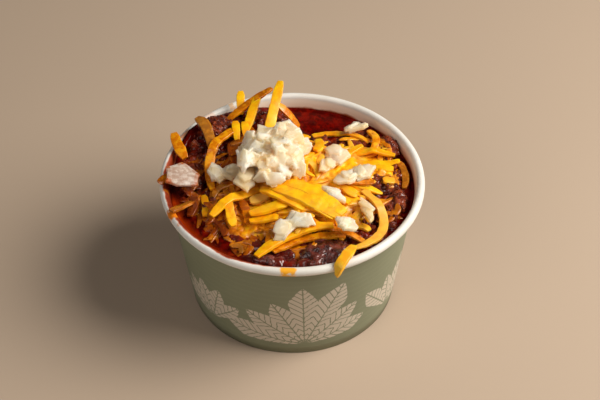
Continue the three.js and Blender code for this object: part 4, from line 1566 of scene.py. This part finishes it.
# %% The shreds that stand or bridge
STANDING_ARCH = 1
STANDING_SHREDS = [
    # x, y, z of one end, x, y, z of the other, width, stain, paleness
    (-29, 33, 66, -9, 47, 73, 3.5, 0.45, 0),
    (-23, 38, 65, -23, 48, 70.5, 3.5, 0.0, 0),
    (-20, 25, 67, -15, 44, 71.5, 4, 0.05, 0),
    (-6.5, 37, 72.3, 3, 35, 60.5, 3.5, 0.35, 0),
    (-25, 29, 69, -24, 18, 68, 3.5, 0.05, 0),
    (-21, 28, 69.5, -20, 19, 68.5, 3.5, 0.1, 0),
    (-11, 20, 66.5, -5, 44, 79.5, 4.5, 0.0, 0),
]
LOOSE_SHREDS = [
    # points that it passes through, width, stain, paleness
    ([(25, -43, 63.5), (22, -50, 65.4), (19, -54.6, 63.9), (17.8, -55.7, 59)], 4.5, 0.05, 0.1),
    ([(-51, -1.5, 64.6), (-54.5, -3.5, 65.2), (-57, -5.3, 64)], 3.5, 0.5, 0),
    ([(-46.5, 11, 63.6), (-50, 18, 65.4), (-52, 24.5, 66.2)], 4.5, 0.4, 0),
    ([(-42.5, -12, 59.4), (-47, -18, 62), (-50.8, -23.5, 65)], 3.5, 0.6, 0.3),
    ([(-9, -12, 67.6), (4, -18.5, 68), (20, -27, 64.6)], 6.5, 0.12, 0),
    ([(-3, -9.5, 68), (8, -15, 67.8), (21.5, -25.5, 64.8)], 6.5, 0.08, 0),
    ([(-13, -12.5, 67), (-5, -17.5, 67.8), (5, -23.5, 66)], 4.5, 0.0, 0),
    ([(-7, -13.5, 68.6), (5, -20.5, 68.2), (17, -28, 65)], 3.5, 0.0, 0),
]


def standing_line(x0, y0, z0, x1, y1, z1):
    """A slightly arched line between two ends."""
    middle = ((x0 + x1) / 2, (y0 + y1) / 2, (z0 + z1) / 2 + STANDING_ARCH)
    return np.array([(x0, y0, z0), middle, (x1, y1, z1)], dtype=float)


standing_lines = [(standing_line(*plan[:6]), *plan[6:]) for plan in STANDING_SHREDS]
loose_lines = [(np.array(points, dtype=float), *rest) for points, *rest in LOOSE_SHREDS]
for line, width, *_ in standing_lines + loose_lines:
    for start, end in zip(line, line[1:]):
        for share in np.linspace(0, 1, 8):
            x, y, z = start + (end - start) * share
            ground.lift(x, y, 1.5, z + width * FLATNESS / 2)
print("The tallest shred stands", max(line[:, 2].max() for line, *_ in standing_lines), "mm high")

# %% [markdown]
# ## Sweeping the shreds
#
# A grater cuts flat strips with square edges that soften as they warm. So each
# centre line becomes a curve, a rounded rectangle is swept along it, and a little
# noise roughens the skin. The width, stain and paleness ride along as attributes
# of the line, and the swept mesh keeps them for the material.

# %% Tree: grated shreds
def make_grated_shreds():
    """Sweeps a rounded strip along each edge chain of a mesh, twisted and a little uneven."""
    tree, source, end = new_tree("grated shreds", {
        "Step": FLOAT, "Flatness": FLOAT, "Corner": FLOAT, "Taper": FLOAT, "Twist": FLOAT,
        "Unevenness": FLOAT, "Roughness": FLOAT,
    })
    curves = add_node(tree, "GeometryNodeMeshToCurve", {0: source["Geometry"]}).outputs[0]
    smooth = add_node(tree, "GeometryNodeCurveSplineType", {0: curves}, spline_type="CATMULL_ROM").outputs[0]
    even = add_node(tree, "GeometryNodeResampleCurve", {0: smooth, "Length": source["Step"]}, mode="LENGTH").outputs[0]
    upright = add_node(tree, "GeometryNodeSetCurveNormal", {0: even}, mode="Z_UP").outputs[0]
    place = add_node(tree, "GeometryNodeInputPosition").outputs[0]
    turn = times(minus(noise(place, 45, 1), 0.5), source["Twist"])
    twisted = add_node(tree, "GeometryNodeSetCurveTilt", {"Curve": upright, "Tilt": turn}).outputs[0]
    strip = add_node(tree, "GeometryNodeCurvePrimitiveQuadrilateral", {"Width": 1.0, "Height": source["Flatness"]})
    rounded = add_node(tree, "GeometryNodeFilletCurve", {
        0: strip.outputs[0], "Radius": source["Corner"], "Count": 3,
    }, mode="POLY").outputs[0]
    share = add_node(tree, "GeometryNodeSplineParameter").outputs["Factor"]
    off_middle = maths("ABSOLUTE", minus(times(share, 2.0), 1.0))
    narrowing = times(maths("POWER", off_middle, 4.0), source["Taper"])
    wander = times(minus(noise(place, 210, 2), 0.5), source["Unevenness"])
    scale = plus(minus(1.0, narrowing), wander)
    swept = add_node(tree, "GeometryNodeCurveToMesh", {
        "Curve": twisted, "Profile Curve": rounded, "Fill Caps": True,
        "Scale": times(named_value(tree, "width"), scale),
    }).outputs[0]
    normal = add_node(tree, "GeometryNodeInputNormal").outputs[0]
    bumps = minus(noise(place, 520, 3, 0.65), 0.5)
    end(moved_along(swept, normal, times(bumps, source["Roughness"])))
    return tree


grated_shreds = make_grated_shreds()
count_nodes(grated_shreds)


# %% [markdown]
# Fresh cheese is gold. Where sauce has soaked it, it goes amber, brown and then
# red-brown, and gets glossier. So its colour runs through a short list of steps,
# driven by the stain. Cheese and onion have the same cloudy grain at different
# scales, so that grain is a group.

# %% Node group: food grain
def make_food_grain():
    """Fine grain of cheese and onion: a mottle and a height."""
    tree, source, result = new_group(
        "food grain", {"Place": VECTOR, "Scale": FLOAT}, {"Mottle": FLOAT, "Height": FLOAT})
    cloudy = noise(source["Place"], source["Scale"], 3)
    fine = noise(source["Place"], times(source["Scale"], 6.0), 3, 0.6)
    fill(result, {"Mottle": fade(cloudy, 0.35, 0.65), "Height": fine})
    return tree


food_grain = make_food_grain()
count_nodes(food_grain)


# %% Material: cheese
STAINED_CHEESE = [
    # stain from which and to which the colour changes, new colour
    (0.05, 0.5, (212, 120, 2)),
    (0.45, 0.8, (154, 66, 1)),
    (0.75, 1.0, (110, 26, 2)),
]


def make_cheese_material():
    """Golden cheese that turns amber-brown with stain and creamy with paleness."""
    material, tree, shader = new_material(
        "grated cheese", Coat_Roughness=0.12, Subsurface_Weight=0.3,
        Subsurface_Scale=0.0008, Subsurface_Radius=(1.0, 0.6, 0.1))
    place = place_of(tree)
    grain = from_group(food_grain, {"Place": place, "Scale": 260.0})
    sauce = from_group(oily_sauce, {"Place": place})
    stain = attribute(tree, "stain")
    blotch = times(minus(sauce["Dark"], 0.4), 0.25)
    stain = plus(stain, times(blotch, fade(stain, 0.0, 0.35)), clamp=True)
    colour = mix(grain["Mottle"], screen(255, 194, 5), screen(252, 168, 1))
    for low, high, stained in STAINED_CHEESE:
        colour = mix(fade(stain, low, high), colour, screen(*stained))
    cream = mix(fade(stain, 0.1, 0.6), screen(236, 184, 84), screen(166, 120, 44))
    colour = mix(attribute(tree, "paleness"), colour, cream)
    fill(shader, {
        "Base Color": colour,
        "Roughness": fade(stain, 0.1, 0.7, 0.4, 0.18),
        "Coat Weight": fade(stain, 0.1, 0.6, 0.15, 0.6),
    })
    add_bump(shader, grain["Height"], 0.4, 0.0003)
    return material


cheese_material = make_cheese_material()
count_nodes(cheese_material)


# %% Sweep the shreds on top
def line_mesh(name, lines):
    """Centre lines as chains of edges, with width, stain and paleness at each point."""
    points, edges, widths, stains, pales = [], [], [], [], []
    for line, width, stain, pale in lines:
        start = len(points)
        points += line.tolist()
        edges += [(start + i, start + i + 1) for i in range(len(line) - 1)]
        widths += [width * MM] * len(line)
        stains += [stain] * len(line)
        pales += [pale] * len(line)
    piece = new_piece(name, points, edges=edges)
    for label, values in (("width", widths), ("stain", stains), ("paleness", pales)):
        set_attribute(piece, label, values)
    return piece


SHRED_LOOK = dict(Step=0.8 * MM, Flatness=0.37, Corner=0.07, Taper=0.4, Twist=1.4, Unevenness=0.5,
                  Roughness=0.5 * MM, Material=cheese_material)
shreds = line_mesh("cheese_shreds", laid_lines + standing_lines + loose_lines)
run_tree(shreds, grated_shreds, **SHRED_LOOK)
dress(shreds, numbered("cheese_strand"))

# %% [markdown]
# ## The melted cheese
#
# The lowest shreds have lost their shape. Many short strands lie every way, half
# sunk, and a film of cheese joins them. The film is a height field: its thickness
# swells and fails from place to place, and where it fails the chili shows through.
# Each strand raises it into a soft ridge. A thick part is golden; a thin one
# takes on the colour of the sauce. It reaches the paper on the left and nearly so
# on the right, and its border sinks into the chili, so that no edge shows.

# %% Shape of the film
MELT_CELLS = 200
FILM_FOOT = 1.8  # how far its underside lies in the chili
FILM_LIMIT = 49.5  # farthest that it reaches from the axis, before its border is made wavy


def ground_grid(source, x, y):
    """Heights of the map at many points, blended between its cells."""
    place_x, place_y = x + HALF_MAP, y + HALF_MAP
    column, row = np.floor(place_x).astype(int), np.floor(place_y).astype(int)
    share_x, share_y = place_x - column, place_y - row
    low = source[row, column] * (1 - share_x) + source[row, column + 1] * share_x
    high = source[row + 1, column] * (1 - share_x) + source[row + 1, column + 1] * share_x
    return low * (1 - share_y) + high * share_y


print("A map cell is blended with its neighbours:", ground_grid(ground.cells, 0.5, 0.5).round(2), "mm")


# %% Raise and close the film
def ridges(flat, lines):
    """Rise of soft ridges along lines, at many points in plan."""
    total = np.zeros(len(flat))
    for line, width, *_ in lines:
        reach = width / 2 + 0.8
        near = np.all((flat > line[:, :2].min(0) - reach) & (flat < line[:, :2].max(0) + reach), axis=1)
        spots = flat[near]
        nearest = np.full(len(spots), 99.0)
        for start, end in zip(line[:-1, :2], line[1:, :2]):
            along = end - start
            share = np.clip((spots - start) @ along / (along @ along), 0, 1)
            nearest = np.minimum(nearest, np.linalg.norm(spots - start - share[:, None] * along, axis=1))
        total[near] += (np.clip(1 - (nearest / reach) ** 2, 0, 1) ** 1.5 * width * 0.42) ** 3
    return np.cbrt(total)


def film_reach(angles):
    """Reach of the film: the melted cheese's own, further at the front and right, and to the paper on the left."""
    degrees = np.degrees(angles) % 360
    front = near_bearing(degrees, 218, 48, 72)
    notch = near_bearing(degrees, 236, 6, 22)
    left = near_bearing(degrees, 190, 8, 18)
    right = near_bearing(degrees, 25, 14, 25)
    aside = CORE_CENTRE[0] * np.cos(angles) + CORE_CENTRE[1] * np.sin(angles)
    to_paper = np.sqrt(FILM_LIMIT ** 2 - CORE_CENTRE @ CORE_CENTRE + aside ** 2) - aside
    reach = core_reach(angles) * (1 - front - right) + (45 - 5 * notch) * front + (to_paper - 2.5) * right
    return reach * (1 - left) + to_paper * left


def film_thickness(flat, lines):
    """Depth of the film over the chili; where it is negative, the chili shows."""
    spots = np.column_stack([flat, np.zeros(len(flat))])
    share = core_share(*flat.T)
    depth = core_depth(np.minimum(share, 1.1)) + CORE_LIFT * (1 - smoothstep(share, 0.9, 1.1))
    swell = 2.0 * (soft_noise(spots, 8, 12) - 0.5) + 0.7 * (soft_noise(spots, 3.2, 14) - 0.5)
    bearing = np.degrees(np.arctan2(flat[:, 1], flat[:, 0]))
    deeper = 0.8 * near_bearing(bearing, 20, 18, 34)  # the cheese has run together at the right
    return 0.68 * depth - 0.1 + swell + deeper + ridges(flat, lines)


def melted_film(lines):
    """The film as one closed mesh."""
    grid = disc_grid(MELT_CELLS).reshape(-1, 2)
    angles = np.arctan2(grid[:, 1], grid[:, 0])
    share = np.hypot(*grid.T)
    flat = CORE_CENTRE + grid * (film_reach(angles) * (1 + 0.04 * np.sin(7 * angles) * share))[:, None]
    surface = ground_grid(bare_ground.cells, *flat.T) - GAP - SHRED_BITE
    thickness = film_thickness(flat, lines)
    edge = 1 - smoothstep(share, 0.82, 1)
    rise = np.maximum(thickness * edge - (1 - edge), 0.05 - FILM_FOOT)
    squares, border = grid_faces(MELT_CELLS)
    count = len(grid)
    faces = squares.tolist() + (squares[:, ::-1] + count).tolist()
    for vertex, ahead in zip(border.tolist(), np.roll(border, -1).tolist()):
        faces.append([ahead, vertex, vertex + count, ahead + count])
    top = np.column_stack([flat, surface + rise])
    bottom = np.column_stack([flat, surface - FILM_FOOT])
    piece = new_piece("melted_cheese", np.vstack([top, bottom]), faces)
    thin = 1 - smoothstep(thickness, 0.0, 2.4)
    stain = 0.6 * sauciness(*flat.T, soft_noise(top, 5, 15)) + 0.5 * thin
    set_attribute(piece, "stain", np.tile(np.clip(stain, 0.05, 1), 2))
    set_attribute(piece, "paleness", np.tile(0.35 * smoothstep(soft_noise(top, 6, 18), 0.55, 0.85), 2))
    return piece


bare_ground = Ground(["chili"])
low_lines = sunken_shreds() + melted_lines
melted = melted_film(low_lines + soaked_lines)
dress(melted, ["cheese_heap"], cheese_material)

# %% [markdown]
# The low strands are swept like the others, but warmth has rounded their corners
# and made them even.

# %% Sweep the low strands
SOFT_LOOK = dict(SHRED_LOOK, Flatness=0.46, Corner=0.17, Taper=0.7, Unevenness=0.4, Roughness=0.25 * MM)
low_shreds = line_mesh("low_cheese_shreds", low_lines + soaked_lines)
run_tree(low_shreds, grated_shreds, **SOFT_LOOK)
dress(low_shreds, ["cheese_heap"])

# %% [markdown]
# ## The onion
#
# Raw onion is chopped across its layers, so a dice is a stack of flat, slightly
# curved flakes with cut sides, cloudy white and translucent. A few flakes are
# modelled once. Node trees then copy them: one or two to each loose dice, and a
# whole crowd over the heap's core. Light goes deep into onion, and would stop at
# every face inside a dice, so the flakes are fused into one skin afterwards.

# %% One onion flake
FLAKES = 9
SIDE_STEPS = 4  # points along each side of a flake
FLAKE_RINGS = [(0.5, 1.0), (0.93, 1.0), (1.0, 0.85)]  # share of the reach and of the thickness
FLAKE_HALF_THICKNESS = 0.1


def flake_outline(draw, count):
    """A cut outline: straight sides between sharp corners, a few of them notched."""
    turns = (np.arange(count) + [0.5 * (next(draw) - 0.5) for _ in range(count)]) * 2 * math.pi / count
    reaches = np.array([0.4 + 0.22 * next(draw) for _ in range(count)])
    corners = np.column_stack([np.cos(turns), np.sin(turns)]) * reaches[:, None]
    outline = []
    for start, end in zip(corners, np.roll(corners, -1, axis=0)):
        notch = 1 - 0.3 * max(0, next(draw) - 0.35)
        for step in range(SIDE_STEPS):
            share = step / SIDE_STEPS
            dent = 1 + (notch - 1) * math.sin(math.pi * share) + 0.03 * (next(draw) - 0.5)
            outline.append((start + (end - start) * share) * dent)
    return np.array(outline)


def onion_flake(name, seed):
    """A unit flake of onion layer: an uneven cut outline, curled one way, with square edges."""
    draw = seeded_random(seed * 7001)
    outline = flake_outline(draw, 5 + seed % 3)
    sides = len(outline)
    rings = [[(0, 0, FLAKE_HALF_THICKNESS)]]
    rings += [np.column_stack([outline * share, np.full(sides, FLAKE_HALF_THICKNESS * thick)])
              for share, thick in FLAKE_RINGS]
    rings += [ring * [0.97, 0.97, -1] for ring in rings[:0:-1]] + [[(0, 0, -FLAKE_HALF_THICKNESS)]]
    points = np.vstack(rings)
    curl, roll = 0.1 + 0.35 * next(draw), math.pi * next(draw)
    across = points[:, 0] * math.cos(roll) + points[:, 1] * math.sin(roll)
    spots = np.column_stack([points[:, :2] * 8, np.full(len(points), seed)])
    points[:, 2] += 0.06 - curl * across ** 2 + 0.12 * (soft_noise(spots, 2.6, seed) - 0.5)
    last = len(points) - 1
    faces = []
    for step in range(sides):
        ahead = (step + 1) % sides
        faces.append((0, 1 + step, 1 + ahead))
        for ring in range(2 * len(FLAKE_RINGS) - 1):
            start = 1 + ring * sides
            faces.append((start + step, start + step + sides, start + ahead + sides, start + ahead))
        start = last - sides
        faces.append((start + ahead, start + step, last))
    mesh = bpy.data.meshes.new(name)
    mesh.from_pydata(points.tolist(), [], faces)
    flake = bpy.data.objects.new(name, mesh)
    set_attribute(flake, "fibre", across + 0.08 * soft_noise(spots, 3, seed + 1))
    set_attribute(flake, "rim", np.hypot(*points.T[:2]) / 0.5)
    return flake


flakes = bpy.data.collections.new("onion flakes")
for number in range(FLAKES):
    flakes.objects.link(onion_flake(f"onion_flake_{number}", 11 + number))


# %% Tree: onion on places
def make_placed_onion():
    """Copies a flake onto each point, with the point's own turn and size."""
    tree, source, end = new_tree("placed onion", {"Flakes": COLLECTION})
    end(add_node(tree, "GeometryNodeInstanceOnPoints", {
        "Points": source["Geometry"], "Instance": members(source["Flakes"]), "Pick Instance": True,
        "Instance Index": named_value(tree, "kind"), "Rotation": named_value(tree, "turn", "FLOAT_VECTOR"),
        "Scale": named_value(tree, "size", "FLOAT_VECTOR"),
    }).outputs[0])
    return tree


placed_onion = make_placed_onion()
count_nodes(placed_onion)


# %% Material: onion
def make_onion_material():
    """Cloudy white flakes with faint fibres, a little translucent; pinkish brown where the tint is 1."""
    material, tree, shader = new_material(
        "diced onion", Roughness=0.4, Specular_IOR_Level=0.3, Coat_Weight=0.15, Coat_Roughness=0.15,
        Subsurface_Weight=1.0, Subsurface_Scale=0.007, Subsurface_Radius=(1.0, 0.97, 0.94))
    place = place_of(tree)
    grain = from_group(food_grain, {"Place": place, "Scale": 200.0})
    rim, own_tint = attribute(tree, "rim"), attribute(tree, "tint")
    fibres = maths("SINE", times(attribute(tree, "fibre"), 44.0))
    fibres = times(plus(fibres, 1.0), 0.5)
    white = mix(grain["Mottle"], screen(247, 238, 221), screen(245, 229, 199))
    veined = mix(times(fibres, 0.12), white, screen(240, 220, 178))
    clear = fade(noise(place, 150, 1), 0.4, 0.65, 0.0, 0.3)
    thin = fade(rim, 0.6, 1.1, 0.0, 0.3)
    # The tint is sauce staining on the loose dice and painted warm bounce light from the cheese on the heap, raised in
    # translucent patches and at thin edges.
    tint = plus(own_tint, plus(clear, thin), clamp=True)
    colour = mix(tint, veined, screen(230, 194, 140))
    blotch = fade(noise(place, 420, 3, 0.6), 0.35, 0.65)
    cooked = mix(blotch, screen(224, 210, 196), screen(186, 158, 140))
    cooked = mix(times(fibres, 0.5), cooked, screen(160, 124, 104))
    cooked = mix(fade(rim, 0.78, 1.0), cooked, screen(176, 92, 44))
    colour = mix(fade(own_tint, 0.7, 1.0), colour, cooked)
    fill(shader, {"Base Color": colour})
    height = plus(times(fibres, 0.25), grain["Height"])
    add_bump(shader, height, 0.35, 0.0003)
    return material


onion_material = make_onion_material()
count_nodes(onion_material)

# %% [markdown]
# A loose dice's place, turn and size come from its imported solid: the directions
# in which its corners spread most are its length and its width, and the one in
# which they spread least is its thickness. Four of them have slid a little since.
# In all but the cooked one, a second, smaller flake has half come off the first.

# %% Read the places of the loose dice
def place_like(node):
    """Middle, turn and size of the flake that fits a packed dice."""
    corners = np.array([vertex.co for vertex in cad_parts[node].data.vertices]) / MM
    corners = np.unique(corners.round(2), axis=0)
    middle = (corners.min(0) + corners.max(0)) / 2
    spread = (corners - corners.mean(0)).T @ (corners - corners.mean(0))
    _, axes = np.linalg.eigh(spread)
    normal, side, along = axes[:, 0], axes[:, 1], axes[:, 2]
    if normal[2] < 0:
        normal = -normal
    side = np.cross(normal, along)
    reach = [np.ptp(corners @ along), np.ptp(corners @ side)]
    return middle, Matrix(np.column_stack([along, side, normal]).tolist()), reach


print("The first dice is", [round(float(side), 1) for side in place_like("onion_01")[2]], "mm long and wide")


# %% Lay flakes on the loose dice
def point_mesh(name, places):
    """Points with a turn, a size, a kind and a tint each."""
    middles, turns, sizes, kinds, tints = zip(*places)
    piece = new_piece(name, middles)
    for label, values in (("turn", turns), ("size", np.array(sizes) * MM), ("kind", kinds), ("tint", tints)):
        set_attribute(piece, label, values)
    return piece


# how far the sauce has tinted each dice; 1 is cooked through
DICE_TINTS = [0.2, 0.6, 0.25, 0.2, 0.25, 0.15, 0.1, 0.25, 0.3, 0.35, 0.5, 1.0, 0.3, 0.6]
DICE_SHIFTS = {  # four dice lie a little off their solids
    "onion_01": (-0.8, 2.8, 0.8),
    "onion_08": (-0.8, 3.0, 1.6),
    "onion_12": (0.5, -3.6, -1.0),
    "onion_13": (1.5, -2.6, -0.2),
}
DICE_LAYERS = [
    # share of the length and width to move by, rise, share of the size, turn, lean
    (0.0, 0.0, -0.2, 1.0, 0.0, 0.0),
    (0.12, -0.08, 0.9, 0.66, 0.5, 0.14),
]
ONION_VOXEL = 0.32
ONION_VALUES = ["fibre", "rim", "tint"]
FLAKE_THICKNESS_SCALE = 10  # a unit flake is a fifth as thick as it is wide
FLAKE_OVERHANG = 1.08


def stacked_flakes(node, number, tint):
    """Places of the flakes that a loose dice is made of: layers that have half come apart."""
    middle, turn, (length, width) = place_like(node)
    middle = middle + np.array(DICE_SHIFTS.get(node, (0, 0, 0)))
    places = []
    layers = DICE_LAYERS if tint < 1 else DICE_LAYERS[:1]
    for layer, (along, across, rise, share, twist, lean) in enumerate(layers):
        shift = turn @ Vector((along * length, across * width, rise))
        own_turn = (turn @ Matrix.Rotation(twist, 3, "Z") @ Matrix.Rotation(lean, 3, "X")).to_euler()
        thickness = FLAKE_THICKNESS_SCALE * (1 if layer == 0 else 0.8)
        size = (length * share * FLAKE_OVERHANG, width * share * FLAKE_OVERHANG, thickness)
        places.append((Vector(middle) + shift, tuple(own_turn), size, (number + 2 * layer) % FLAKES, tint))
    return places


dice_nodes = numbered("onion_0") + numbered("onion_1")
dice_places = []
for number, (node, tint) in enumerate(zip(dice_nodes, DICE_TINTS)):
    dice_places += stacked_flakes(node, number, tint)
loose_onion = point_mesh("loose_onion", dice_places)
run_tree(loose_onion, placed_onion, Flakes=flakes, Material=onion_material)
fuse(loose_onion, ONION_VOXEL, ONION_VALUES)
dress(loose_onion, dice_nodes, onion_material)

# %% [markdown]
# The heap's core is its imported solid, remeshed and drawn in. The crowd of flakes
# is spread over it evenly, each leaning its own way, and lies close enough to
# hide the core. Each flake keeps a random warm tint of its own, which is painted
# warm light bounced from the cheese below.

# %% Tree: a crowd of onion
def make_crowded_onion():
    """Spreads flakes over the upper side of a core and keeps the core."""
    tree, source, end = new_tree("crowded onion", {
        "Flakes": COLLECTION, "Spacing": FLOAT, "Lean": FLOAT, "Seed": WHOLE,
        "Smallest": VECTOR, "Largest": VECTOR, "Tint": FLOAT,
    })
    spread = add_node(tree, "GeometryNodeDistributePointsOnFaces", {
        "Mesh": source["Geometry"], "Selection": maths("GREATER_THAN", upwardness(tree), -0.1),
        "Distance Min": source["Spacing"], "Density Max": 4e5, "Seed": source["Seed"],
    }, distribute_method="POISSON").outputs
    back = times(source["Lean"], -1.0)
    low = add_node(tree, "ShaderNodeCombineXYZ", {"X": back, "Y": back, "Z": 0.0}).outputs[0]
    high = add_node(tree, "ShaderNodeCombineXYZ", {
        "X": source["Lean"], "Y": source["Lean"], "Z": 2 * math.pi,
    }).outputs[0]
    turned = add_node(tree, "FunctionNodeRotateRotation", {
        "Rotation": spread["Rotation"], "Rotate By": random_vector(tree, low, high),
    }, rotation_space="LOCAL").outputs[0]
    # Each flake gets a random warm tint: painted warm light bounced from the cheese.
    own_tint = add_node(tree, "FunctionNodeRandomValue", {2: -0.1, 3: source["Tint"], "Seed": 7}, data_type="FLOAT")
    tinted = add_node(tree, "GeometryNodeStoreNamedAttribute", {
        "Geometry": spread["Points"], "Name": "tint", "Value": own_tint.outputs[1],
    }, data_type="FLOAT", domain="POINT").outputs[0]
    crowd = add_node(tree, "GeometryNodeInstanceOnPoints", {
        "Points": tinted, "Instance": members(source["Flakes"]), "Pick Instance": True,
        "Rotation": turned, "Scale": random_vector(tree, source["Smallest"], source["Largest"], 3),
    }).outputs[0]
    both = add_node(tree, "GeometryNodeJoinGeometry", {0: crowd})
    tree.links.new(source["Geometry"], both.inputs[0])
    end(both.outputs[0])
    return tree


crowded_onion = make_crowded_onion()
count_nodes(crowded_onion)


# %% The onion heap
CORE_VOXEL = 1.2
CORE_DRAWN_IN = 0.9
HEAP_SPACING = 3.0
HEAP_SEED = 1
heap = welded_copy("onion_heap_pieces", ["onion_heap"])
remesh(heap, CORE_VOXEL)
set_points(heap, points_of(heap) - normals_of(heap) * CORE_DRAWN_IN)
# Tint is the most warm tint a heap flake may get, painted warm bounce light from the cheese.
run_tree(heap, crowded_onion, Flakes=flakes, Spacing=HEAP_SPACING * MM, Lean=0.45, Seed=HEAP_SEED, Tint=0.6,
         Smallest=(5.5 * MM, 5 * MM, 6 * MM), Largest=(10 * MM, 8.5 * MM, 8 * MM), Material=onion_material)
fuse(heap, ONION_VOXEL, ONION_VALUES)
dress(heap, ["onion_heap"], onion_material)

# %% [markdown]
# ## The stage
#
# A plain, pale tan surface and one large soft light from the right, rather low,
# give the long soft shadow to the left. A weak light from the front and the pale
# surroundings fill the shade.

# %% Floor
def make_floor_material():
    """Matt tan laminate."""
    material, tree, shader = new_material("floor", Roughness=0.65, Specular_IOR_Level=0.3)
    soft = noise(place_of(tree), 3, 2)
    fill(shader, {"Base Color": mix(soft, screen(186, 165, 144), screen(180, 159, 138))})
    return material


FLOOR_REACH = 3000
floor_corners = [(x * FLOOR_REACH, y * FLOOR_REACH, 0) for x, y in ((-1, -1), (1, -1), (1, 1), (-1, 1))]
floor = new_piece("floor", floor_corners, [(0, 1, 2, 3)])
floor.data.materials.append(make_floor_material())
print("The floor is", 2 * FLOOR_REACH * MM, "m wide")


# %% Lights and surroundings
LIT_POINT = Vector((0, 0, 0.04))
LIGHTS = [
    # name, place in metres, width, power, colour
    ("key", (0.72, -0.07, 0.71), 0.77, 15.6, (1, 0.96, 0.9)),
    ("fill", (-0.6, -0.6, 0.7), 0.8, 3.3, (1, 0.97, 0.94)),
]
for name, place, width, power, colour in LIGHTS:
    light = bpy.data.lights.new(name, "AREA")
    light.shape = "DISK"
    light.size = width
    light.energy = power
    light.color = colour
    lamp = add_object(name, light)
    lamp.location = place
    aim(lamp, LIT_POINT)
world = bpy.data.worlds.new("room")
bpy.context.scene.world = world
world.use_nodes = True
fill(world.node_tree.nodes["Background"], {"Color": (1, 0.97, 0.93, 1), "Strength": 0.03})
bpy.context.scene.view_settings.view_transform = "Standard"
print("Lit by", len(bpy.data.lights), "lights")
